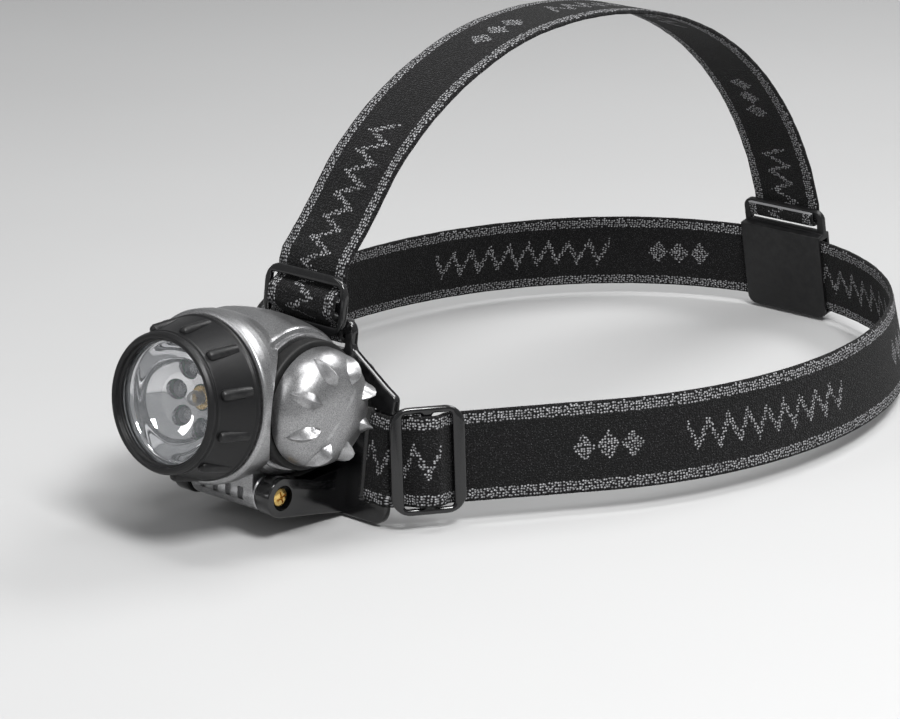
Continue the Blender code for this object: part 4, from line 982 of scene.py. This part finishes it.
def half_band():
    """Stations (centre, way across) of the right half of the head band, tail to middle of the back."""
    plate_up = LEAN_TURN @ Vector((0, 0, 1))
    run, outward, length = run_frame()
    across = width_way(run, LEAN)
    stations = []
    tail_level = -(GLIDE_LEVEL + 2.2 * STRAP_THICKNESS)
    for travel in TAIL_TRAVEL:
        stations.append((RUN_START + run * travel + outward * tail_level, across))
    for x, clear in ((30.0, 0.6), (28.6, 0.1)):
        stations.append((to_world((x, EAR_REAR + clear, EAR_MIDDLE)), plate_up))
    for angle in FOLD_ANGLES:
        x = EAR_SLOT_OUT + 0.1 - EAR_BEND * math.sin(angle)
        y = EAR_CENTRE + EAR_BEND * math.cos(angle)
        stations.append((to_world((x, y, EAR_MIDDLE)), plate_up))
    for x, clear in ((28.8, 0.0), (31.0, 0.3), (EAR_LEAVE.x - 0.4, 0.66)):
        stations.append((to_world((x, EAR_FRONT - clear, EAR_MIDDLE)), plate_up))
    glide_length = SIDE_GLIDE[0]
    for step in range(46):
        travel = 0.8 + (glide_length + 0.5) * step / 45
        shift = glide_wave(travel - SIDE_GLIDE_START, SIDE_GLIDE) + GLIDE_LEVEL
        stations.append((RUN_START + run * travel + outward * shift, across))
    rest = length - SIDE_GLIDE_START - glide_length
    for step in range(1, 8):
        share = step / 8
        lean = LEAN + (SIDE_LEAN - LEAN) * share
        travel = SIDE_GLIDE_START + glide_length + rest * share
        stations.append((RUN_START + run * travel, width_way(run, lean)))
    for step in range(BAND_STEPS + 1):
        angle = BAND_START + (math.pi - BAND_START) * step / BAND_STEPS
        stations.append((band_point(angle), width_way(band_heading(angle), SIDE_LEAN)))
    return stations


def catmull(points, steps):
    """A smooth curve through points."""
    ends = [points[0] * 2 - points[1]] + points + [points[-1] * 2 - points[-2]]
    curve = []
    for a, b, c, d in zip(ends, ends[1:], ends[2:], ends[3:]):
        square, cube = 2 * a - 5 * b + 4 * c - d, 3 * b - a - 3 * c + d
        for step in range(steps):
            t = step / steps
            curve.append(0.5 * (2 * b + (c - a) * t + square * t * t + cube * t**3))
    curve.append(points[-1])
    return curve


def junction_frame():
    """Middle of the back of the band, with the ways up and outward of the leaning webbing there."""
    up = Vector((0, -math.sin(SIDE_LEAN), math.cos(SIDE_LEAN)))
    outward = Vector((0, math.cos(SIDE_LEAN), math.sin(SIDE_LEAN)))
    return band_point(math.pi), up, outward


def crown_stations():
    """Stations of the strap over the head, from its tail behind the plate to its tail in the junction."""
    points = [to_world((0, EAR_REAR, 19.4)), to_world((0, EAR_REAR, 17.6))]
    for angle in FOLD_ANGLES:
        y = EAR_CENTRE + EAR_BEND * math.cos(angle)
        points.append(to_world((0, y, TOP_SLOT_HIGH - 0.1 - EAR_BEND * math.sin(angle))))
    first, length = 17.2, TOP_GLIDE[0]
    for step in range(40):
        z = first + (TOP_GLIDE_LOW - 0.2 + length + 0.8 - first) * step / 39
        shift = glide_wave(z - TOP_GLIDE_LOW, TOP_GLIDE) + GLIDE_LEVEL
        if z < TOP_GLIDE_LOW + length / 2:
            shift *= min(1.0, (z - first) / 2.0)
        points.append(to_world((0, EAR_FRONT - shift, z)))
    points += catmull([Vector((0, y, z)) for y, z in CROWN_ROUTE], 9)
    rear, up, outward = junction_frame()
    outer = 1.0 + STRAP_GAP + STRAP_THICKNESS / 2
    points.append(rear + up * (JUNCTION_TOP + 1.5) + outward * outer)
    points.append(rear + up * (JUNCTION_SLOT_HIGH + 1.2) + outward * outer)
    for angle in FOLD_ANGLES:
        lift = JUNCTION_SLOT_HIGH - 0.1 - outer * math.sin(angle)
        points.append(rear + up * lift + outward * outer * math.cos(angle))
    points.append(rear + up * (JUNCTION_TOP - 0.4) - outward * outer)
    return [(point, Vector((1, 0, 0))) for point in points]


SELVEDGE, FLAT_STEPS = 1.4, 12


def strap_section():
    """Half of a strap's section, (across, share of the thickness): thin soft selvedges, full middle."""
    half = STRAP_WIDTH / 2
    upper = [(-half, 0.0), (-half + 0.12, 0.5), (-half + 0.5, 0.82), (-half + SELVEDGE, 1.0)]
    for step in range(1, FLAT_STEPS):
        across = -half + SELVEDGE + (STRAP_WIDTH - 2 * SELVEDGE) * step / FLAT_STEPS
        upper.append((across, 1.0))
    upper += [(-a, share) for a, share in reversed(upper[:4])]
    return upper


def webbing(name, stations):
    """A strap through stations, with its own map: one unit to the strap's width, along and across."""
    mesh = bmesh.new()
    weave = mesh.loops.layers.uv.new("weave")
    upper = strap_section()
    lower = [(a, -share) for a, share in reversed(upper[1:-1])]
    section = upper + lower
    rings, reach, travels = [], 0.0, []
    for index, (point, across) in enumerate(stations):
        ahead = stations[min(index + 1, len(stations) - 1)][0]
        behind = stations[max(index - 1, 0)][0]
        if index:
            reach += (point - stations[index - 1][0]).length
        travels.append(reach / STRAP_WIDTH)
        run = (ahead - behind).normalized()
        across = (across - run * across.dot(run)).normalized()
        normal = run.cross(across)
        ripple = 0.05 * math.sin(reach * 0.9) + 0.04 * math.sin(reach * 0.37)
        ring = []
        for a, share in section:
            edge = max(0.0, abs(a) / (STRAP_WIDTH / 2) - 0.75) * 4
            lift = share * STRAP_THICKNESS / 2 + ripple * edge
            ring.append(mesh.verts.new((point + across * a + normal * lift) * MM))
        rings.append(ring)
    count = len(section)
    for index, (first, second) in enumerate(zip(rings, rings[1:])):
        for side in range(count):
            after = (side + 1) % count
            face = mesh.faces.new((first[side], second[side], second[after], first[after]))
            places = ((index, side), (index + 1, side), (index + 1, after), (index, after))
            for loop, (station, item) in zip(face.loops, places):
                loop[weave].uv = (travels[station], section[item][0] / STRAP_WIDTH + 0.5)
    for ring, travel in ((rings[0], travels[0]), (list(reversed(rings[-1])), travels[-1])):
        face = mesh.faces.new(ring)
        for loop in face.loops:
            loop[weave].uv = (travel, 0.5)
    bmesh.ops.recalc_face_normals(mesh, faces=mesh.faces)
    data = bpy.data.meshes.new(name)
    mesh.to_mesh(data)
    mesh.free()
    piece = bpy.data.objects.new(name, data)
    bpy.context.scene.collection.objects.link(piece)
    return piece, reach


def make_straps():
    right = half_band()
    flip = Vector((-1, 1, 1))
    left = [(point * flip, across * flip) for point, across in reversed(right)]
    band, band_length = webbing("head_band", right + left[1:])
    crown, crown_length = webbing("crown_strap", crown_stations())
    for piece, length, look, node, holds in (
        (band, band_length, "head_webbing", "head_strap", ["base_plate", "slider_right", "slider_left"]),
        (crown, crown_length, "top_webbing", "top_strap", ["base_plate", "slider_top", "rear_junction"]),
    ):
        hand_over(piece, look, "base", [node], 60)


def make_glide(name, size):
    """A three-bar strap glide, modelled flat: x along the strap, z across it."""
    length, height, end_bar = size
    half = height / 2
    body = prism(
        name,
        rounded([(0, -half), (length, -half), (length, half), (0, half)], 5.5, 8),
        -GLIDE_THICKNESS / 2,
        GLIDE_THICKNESS / 2,
    )
    window = STRAP_WIDTH / 2 + 0.4
    middle = length / 2
    for low, high in ((end_bar, middle - GLIDE_BAR / 2), (middle + GLIDE_BAR / 2, length - end_bar)):
        combine(body, block_cutter((low, -3, -window), (high, 3, window), 0.9))
    return bevelled(body, 0.75, 5, 40)


def make_glides():
    run, outward, _ = run_frame()
    origin = RUN_START + run * SIDE_GLIDE_START + outward * GLIDE_LEVEL
    place = along_ways((run, -outward, width_way(run, LEAN)), origin)
    right = put(make_glide("glide_right", SIDE_GLIDE), place)
    left = mirrored(right, "glide_left")
    upright = Matrix(((0, 0, -1, 0), (0, 1, 0, 0), (1, 0, 0, 0), (0, 0, 0, 1)))
    shift = Matrix.Translation(Vector((0, EAR_FRONT - GLIDE_LEVEL, TOP_GLIDE_LOW)) * MM)
    top = put(make_glide("glide_top", TOP_GLIDE), LAMP @ shift @ upright)
    for piece, node in ((right, "slider_right"), (left, "slider_left"), (top, "slider_top")):
        hand_over(piece, "gloss_black", "base", [node], 45)


def make_rear_junction():
    rear, up, outward = junction_frame()
    half, low = JUNCTION_HALF_WIDTH, -STRAP_WIDTH / 2 - 2.0
    corners = [(-half, low), (half, low), (half, JUNCTION_TOP), (-half, JUNCTION_TOP)]
    body = prism("junction_sleeve", rounded(corners, 3.0, 6), JUNCTION_INSIDE, JUNCTION_OUTSIDE)
    band = STRAP_WIDTH / 2 + 0.5
    for near, far in (
        ((-half - 2, -2.8, -band), (half + 2, 1.1, band)),
        ((-half - 2, 1.0, band + 1.9), (half + 2, 4, JUNCTION_TOP + 2)),
        ((-half - 2, -5, band + 1.9), (half + 2, -1.0, JUNCTION_TOP + 2)),
        ((-13, -5, JUNCTION_SLOT_LOW), (13, 4, JUNCTION_SLOT_HIGH)),
    ):
        combine(body, block_cutter(near, far))
    bevelled(body, 0.35, 3, 40)
    put(body, along_ways((Vector((1, 0, 0)), outward, up), rear))
    hand_over(body, "black_plastic", "base", ["rear_junction"], 40)


# ---------------------------------------------------------------- lamp shells
BARREL_BORE, BARREL_POCKET, POCKET_HALF, BARREL_HALF = 13.2, 17.0, 13.6, 16.6
NECK_RADIUS, NECK_END = 14.2, 24.0
BARREL_MIDDLE, BARREL_CROWN, CROWN_HALF, BARREL_BACK = 21.7, 1.43, 13.5, 19.4
RING_IN, RING_OUT, RING_RADIUS = 16.9, 21.0, 17.7
SEAM_HALF_GAP, BEYOND = 0.15, 60
LUG_WAY, LUG_WAY_IN, LUG_WAY_OUT = 6.1, 12.5, 18.6
KNUCKLE_RADIUS, KNUCKLE_HALF, KNUCKLE_CHAMFER = 5, 11.9, 0.3
LOUVRES, LOUVRE_HALF = (-7.0, -2.4, 2.4, 7.0), 1.1
BOARD_WELL, BOARD_STEP, BOARD_BACK = 16.3, -18.8, -15.9
SHELL_SCREW_X, SHELL_SCREW_Z, SHELL_SCREW_WELL = 8.0, -19.6, 2.3


def barrel_profile():
    """Section of the crowned barrel, with a raised lip at each end and a hollow between its end walls."""
    side = [
        (BARREL_POCKET, POCKET_HALF),
        (BARREL_BORE, POCKET_HALF),
        (BARREL_BORE, NECK_END),
        (NECK_RADIUS, NECK_END),
        (NECK_RADIUS, BARREL_HALF),
        (18.4, BARREL_HALF),
        (18.75, 16.35),
        (18.85, 15.9),
        (18.8, 15.5),
        (18.5, 15.2),
        (18.55, 14.95),
        (19.2, 14.75),
        (19.75, 14.5),
        (20.05, 14.1),
        (20.25, 13.5),
    ]
    for step in range(8):
        x = 12.5 - 1.5 * step
        side.append((BARREL_MIDDLE - BARREL_CROWN * (x / CROWN_HALF) ** 2, x))
    return side + [(BARREL_MIDDLE, 0)] + [(r, -x) for r, x in reversed(side)]


def half_space(front):
    """A block that covers everything in front of, or behind, the seam."""
    low, high = (-BEYOND, -SEAM_HALF_GAP) if front else (SEAM_HALF_GAP, BEYOND)
    return block_cutter((-BEYOND, low, -BEYOND), (BEYOND, high, BEYOND))


def lug_way(side):
    """Room for a lug of the base plate, at one side of the hinge."""
    return rod_cutter(LUG_WAY, (side * LUG_WAY_IN, side * LUG_WAY_OUT), "X", HINGE, 64)


def make_front_shell():
    hood = [
        (0, -2.0),
        (19.0, -2.0),
        (20.3, -5.0),
        (21.6, -8.0),
        (22.4, -10.2),
        (23.0, -12.5),
        (23.35, -14.8),
        (23.5, -17.0),
        (23.45, -19.2),
        (23.2, -19.9),
        (22.6, -20.2),
        (19.0, -20.2),
        (19.0, -25.6),
        (0, -25.6),
    ]
    shell = turned("lamp_front", rounded(hood, 0.5, 3, False), "Y", steps=128, closed=False)
    combine(shell, rod_cutter(14, (-30, 30), steps=96))
    barrel = turned("barrel", barrel_profile(), "X", steps=128)
    combine(barrel, half_space(False))
    combine(shell, barrel, "UNION")
    for side in (1, -1):
        low, high = sorted((side * (BARREL_HALF - 0.05), side * 28))
        inner = NECK_RADIUS - 0.05
        way = turned("cutter", [(inner, low), (18.1, low), (18.1, high), (inner, high)], "X", steps=128)
        combine(shell, way)
        combine(shell, lug_way(side))
    _, hinge_y, hinge_z = HINGE
    inner, shoulder = KNUCKLE_RADIUS - KNUCKLE_CHAMFER, KNUCKLE_HALF - KNUCKLE_CHAMFER
    right = [(KNUCKLE_RADIUS, shoulder), (inner, KNUCKLE_HALF), (0, KNUCKLE_HALF)]
    profile = [(r, -x) for r, x in reversed(right)] + right
    combine(shell, turned("knuckle", profile, "X", HINGE, 64, False), "UNION")
    web = prism("web", [(-11.0, -17.6), (-9.9, -25.6), (-1.4, -24.5), (-0.4, -18.4)], -11.5, 11.5, "YZ")
    combine(shell, bevelled(web, 0.3, 2), "UNION")
    for x in LOUVRES:
        near = (x - LOUVRE_HALF, hinge_y - 6, hinge_z - 2.2)
        far = (x + LOUVRE_HALF, hinge_y - 3.6, hinge_z + 1.4)
        combine(shell, block_cutter(near, far, 0.3))
    well = [(0, -30), (17.8, -30), (17.8, BOARD_STEP), (BOARD_WELL, BOARD_STEP)]
    well += [(BOARD_WELL, BOARD_BACK), (0, BOARD_BACK)]
    combine(shell, turned("cutter", well, "Y", steps=96, closed=False))
    close_slivers(shell)
    put(shell, LAMP)
    hand_over(shell, "silver_plastic", "lamp", ["front_shell"], 28)


def make_rear_shell():
    shell = turned("lamp_rear", barrel_profile(), "X", steps=128)
    combine(shell, half_space(True))
    combine(shell, block_cutter((-30, BARREL_BACK, -30), (30, 30, 30)))
    for side in (1, -1):
        combine(shell, lug_way(side))
        place = (side * SHELL_SCREW_X, 0, SHELL_SCREW_Z)
        combine(shell, rod_cutter(SHELL_SCREW_WELL, (2.5, 14), "Y", place))
    put(shell, LAMP)
    hand_over(shell, "silver_plastic", "lamp", ["rear_shell"], 28)


def make_rings():
    for side, label in ((1, "right"), (-1, "left")):
        corners = [(14.5, RING_IN), (RING_RADIUS, RING_IN), (RING_RADIUS, RING_OUT), (14.5, RING_OUT)]
        profile = rounded([(r, side * x) for r, x in corners], [0, 0.8, 0.8, 0], 5)
        ring = put(turned("sealing_ring_" + label, profile, "X", steps=112), LAMP)
        hand_over(ring, "rubber", "lamp", ["ring_seal_" + label])


# ---------------------------------------------------------------- light unit
BOWL = [
    (15.9, -29.6),
    (17.4, -29.6),
    (17.4, -28.6),
    (16.4, -28.2),
    (14.8, -25.2),
    (12.4, -22.6),
    (9.6, -20.7),
    (6.4, -19.6),
    (3.6, -19.2),
    (3.6, -20.2),
    (6.4, -20.6),
    (9.4, -21.7),
    (12.0, -23.5),
    (14.2, -26.2),
]
LED_COUNT, LED_CIRCLE, LED_PHASE, LED_RADIUS = 7, 8.2, math.radians(72.5), 2.5
LED_BASE, LED_SHOULDER, LED_TIP = -17.9, -19.4, -21.8
LED_CUP = [(0, -18.2), (1.7, -18.2), (1.8, -18.8), (1.5, -19.5), (1.3, -19.5), (0.8, -18.9), (0, -18.9)]
BULB_GLASS = [
    (0, -18.4),
    (1.6, -18.4),
    (1.6, -20.6),
    (1.75, -21.2),
    (2.1, -21.9),
    (2.2, -22.7),
    (2.0, -23.5),
    (1.5, -24.3),
    (0.8, -24.8),
    (0, -25.0),
]


def led_dome():
    """A straight collar that closes into a round tip."""
    tip = [
        (LED_RADIUS * math.cos(angle), LED_SHOULDER + (LED_TIP - LED_SHOULDER) * math.sin(angle))
        for angle in (0.35, 0.7, 1.0, 1.25)
    ]
    return [(0, LED_BASE), (LED_RADIUS, LED_BASE), (LED_RADIUS, LED_SHOULDER)] + tip + [(0, LED_TIP)]


def make_light_unit():
    smooth = [Vector((r, y, 0)) for r, y in BOWL[3:9]]
    inner = [Vector((r, y, 0)) for r, y in BOWL[9:] + BOWL[:1]]
    profile = BOWL[:3]
    profile += [(p.x, p.y) for p in catmull(smooth, 4)]
    profile += [(p.x, p.y) for p in catmull(inner, 6)[:-1]]
    bowl = turned("reflector_bowl", profile, "Y", steps=96)
    for index in range(LED_COUNT):
        angle = LED_PHASE + FULL_TURN * index / LED_COUNT
        centre = (LED_CIRCLE * math.cos(angle), 0, LED_CIRCLE * math.sin(angle))
        combine(bowl, rod_cutter(LED_RADIUS + 0.3, (-40, -15), "Y", centre, 32))
        led = put(turned(f"led_dome_{index + 1}", led_dome(), "Y", centre, 32, False), LAMP)
        hand_over(led, "led_epoxy", "lamp", [f"led_{index + 1}"])
        cup = put(turned(f"led_cup_{index + 1}", LED_CUP, "Y", centre, 20, False), LAMP)
        hand_over(cup, "steel", "lamp", [])
    put(bowl, LAMP)
    hand_over(bowl, "chrome", "lamp", ["reflector"], 40)
    bulb = put(turned("bulb_envelope", BULB_GLASS, "Y", steps=36, closed=False), LAMP)
    hand_over(bulb, "bulb_glass", "lamp", ["bulb"])


RIB_COUNT, RIB_PHASE, RIB_TILT = 11, math.radians(82.5), math.radians(-7.5)
RIB_RADIUS, RIB_AXIS, RIB_PIVOT = 1.6, 19.3, -32
BEZEL_SKIRT, BEZEL_REAR = 19.6, -20.5


def make_bezel():
    body = [
        (22.2, BEZEL_REAR),
        (22.2, -21.5),
        (21.75, -22.0),
        (20.9, -25.4),
        (20.05, -29.0),
        (19.15, -32.5),
        (19.15, -33.2),
        (18.7, -33.4),
        (18.7, -33.75),
        (18.9, -33.9),
        (18.9, -34.6),
        (18.3, -35.5),
        (17.5, -35.5),
        (17.1, -35.2),
        (16.9, -34.2),
        (16.4, -34.0),
        (16.25, -33.0),
        (17.9, -33.0),
        (17.9, -29.4),
        (BEZEL_SKIRT, -26.2),
        (BEZEL_SKIRT, BEZEL_REAR),
    ]
    bezel = turned("ribbed_bezel", rounded(body, 0.25, 3), "Y", steps=144)
    rib_profile = [(0, -32.2), (0.7, -32.15), (1.25, -31.8)]
    rib_profile += [(RIB_RADIUS, -31.0), (RIB_RADIUS, -22.6), (0, -22.6)]
    tilt = Matrix.Rotation(RIB_TILT, 4, "Z")
    pivot = Matrix.Translation(Vector((0, RIB_PIVOT, 0)) * MM)
    for index in range(RIB_COUNT):
        angle = RIB_PHASE + FULL_TURN * index / RIB_COUNT
        rib = turned("rib", rib_profile, "Y", steps=28, closed=False)
        place = Matrix.Rotation(-angle, 4, "Y") @ Matrix.Translation(Vector((RIB_AXIS, 0, 0)) * MM)
        put(rib, place @ pivot @ tilt @ pivot.inverted())
        combine(bezel, rib, "UNION")
    inside = [(0, -28), (BEZEL_SKIRT, -26.2), (BEZEL_SKIRT, -20), (0, -20)]
    combine(bezel, turned("cutter", inside, "Y", steps=144, closed=False))
    put(bezel, LAMP)
    hand_over(bezel, "black_plastic", "bezel", ["bezel"], 30)
    disc = [(0, -32.9), (9, -32.85), (14, -32.8), (16.9, -32.7)]
    disc += [(17.4, -32.4), (17.4, -31.6), (17.1, -31.3), (0, -31.3)]
    lens = put(turned("lens_disc", disc, "Y", steps=96, closed=False), LAMP)
    hand_over(lens, "clear_lens", "bezel", ["lens"])
    trim = [(16.0, -31.0), (15.3, -30.0), (17.4, -30.0), (17.4, -31.0)]
    seal = put(turned("lens_gasket", rounded(trim, 0.2, 3), "Y", steps=96), LAMP)
    hand_over(seal, "chrome", "bezel", ["lens_seal"])


# ---------------------------------------------------------------- knobs
DOME_BASE, DOME_RADIUS, DOME_DEPTH, DOME_WALL = 21.3, 16.2, 11.2, 1.25
DOME_POWER, DOME_STEPS, RIM_CHAMFER = 2.5, 22, 0.35
FINS, FIN_SUNK, FIN_EDGE = 8, 0.5, 0.05
# Latitude on the dome in degrees, then half the width at the foot, half the width of the crest, and height.
FIN_STATIONS = (
    (18, 0.05, 0.0, 0.05),
    (25, 0.9, 0.05, 0.6),
    (33, 1.6, 0.06, 1.4),
    (41, 2.05, 0.08, 2.2),
    (49, 2.1, 0.1, 2.85),
    (55, 1.8, 0.12, 3.0),
    (60, 1.1, 0.12, 1.9),
    (64, 0.25, 0.08, 0.3),
)


def dome_point(angle, radius, depth):
    """A point (radius, distance from the base) of the dome, fuller than an ellipse."""
    share = 2 / DOME_POWER
    return radius * math.cos(angle) ** share, depth * math.sin(angle) ** share


def make_fin():
    """One leaf-shaped grip on the dome's meridian at angle zero, thin towards the ring."""
    fin = bmesh.new()
    rings = []
    for latitude, half, ridge, height in FIN_STATIONS:
        tilt = math.radians(latitude)
        out, reach = dome_point(tilt, DOME_RADIUS, DOME_DEPTH)
        foot = Vector((DOME_BASE + reach, 0, out))
        lean, rise = (reach / DOME_DEPTH) ** (DOME_POWER - 1), (out / DOME_RADIUS) ** (DOME_POWER - 1)
        normal = Vector((lean / DOME_DEPTH, 0, rise / DOME_RADIUS)).normalized()
        side = Vector((0, 1, 0))
        waist = half * 0.4 + ridge * 0.5
        points = [
            foot - normal * FIN_SUNK - side * half,
            foot + normal * FIN_EDGE - side * half,
            foot + normal * height * 0.5 - side * waist,
            foot + normal * height - side * ridge,
            foot + normal * height + side * ridge,
            foot + normal * height * 0.5 + side * waist,
            foot + normal * FIN_EDGE + side * half,
            foot - normal * FIN_SUNK + side * half,
        ]
        rings.append([fin.verts.new(point * MM) for point in points])
    for first, second in zip(rings, rings[1:]):
        for index in range(len(first)):
            after = (index + 1) % len(first)
            fin.faces.new((first[index], second[index], second[after], first[after]))
    fin.faces.new(rings[0])
    fin.faces.new(list(reversed(rings[-1])))
    bmesh.ops.recalc_face_normals(fin, faces=fin.faces)
    data = bpy.data.meshes.new("fin")
    fin.to_mesh(data)
    fin.free()
    piece = bpy.data.objects.new("fin", data)
    bpy.context.scene.collection.objects.link(piece)
    return piece


def make_knob():
    """A hollow domed knob with eight grips, made at the right-hand end."""
    quarter = [math.pi / 2 * step / DOME_STEPS for step in range(DOME_STEPS)]
    outer = [(DOME_RADIUS - RIM_CHAMFER, DOME_BASE), (DOME_RADIUS, DOME_BASE + RIM_CHAMFER)]
    for angle in quarter[1:]:
        out, reach = dome_point(angle, DOME_RADIUS, DOME_DEPTH)
        outer.append((out, DOME_BASE + reach))
    outer.append((0, DOME_BASE + DOME_DEPTH))
    radius, depth = DOME_RADIUS - DOME_WALL, DOME_DEPTH - DOME_WALL
    inner = [(0, DOME_BASE + depth)]
    for angle in reversed(quarter[::2]):
        out, reach = dome_point(angle, radius, depth)
        inner.append((out, DOME_BASE + reach))
    knob = turned("knob", outer + inner + [outer[0]], "X", steps=112, closed=False)
    fin = make_fin()
    for index in range(FINS):
        grip = put(copied(fin, "grip"), Matrix.Rotation(math.pi / FINS * (2 * index + 1), 4, "X"))
        combine(knob, grip, "UNION")
    bpy.data.objects.remove(fin, do_unlink=True)
    return knob


def make_knobs():
    right = make_knob()
    right.name = right.data.name = "battery_knob"
    left = mirrored(right, "mode_knob")
    for piece, body, node in ((right, "battery_cap", "battery_cap"), (left, "switch", "switch_knob")):
        put(piece, LAMP)
        hand_over(piece, "silver_plastic", body, [node], 30)


# ---------------------------------------------------------------- pieces kept from the CAD
def dress_kept_nodes():
    """Gives each CAD node that still shows the procedural material of its slot."""
    for name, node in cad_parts.items():
        if node.hide_render:
            continue
        for place in node.material_slots:
            key = place.material.name.split(".")[0] if place.material else ""
            place.material = LOOKS.get(key, LOOKS["black_plastic"])


FLOOR_GAP = 0.0004


def make_floor():
    """The floor lies a hair under the lowest point, so that the two don't flicker."""
    clear_selection()
    bpy.ops.mesh.primitive_plane_add(size=6, location=(0, 0.1, cad_low.z - FLOOR_GAP))
    floor = bpy.context.object
    floor.name = "floor"
    floor.data.materials.append(floor_material())


place_camera()
set_studio()
make_floor()
make_base_plate()
make_foam_pad()
make_hinge_screws()
make_straps()
make_glides()
make_rear_junction()
make_front_shell()
make_rear_shell()
make_rings()
make_light_unit()
make_bezel()
make_knobs()
dress_kept_nodes()
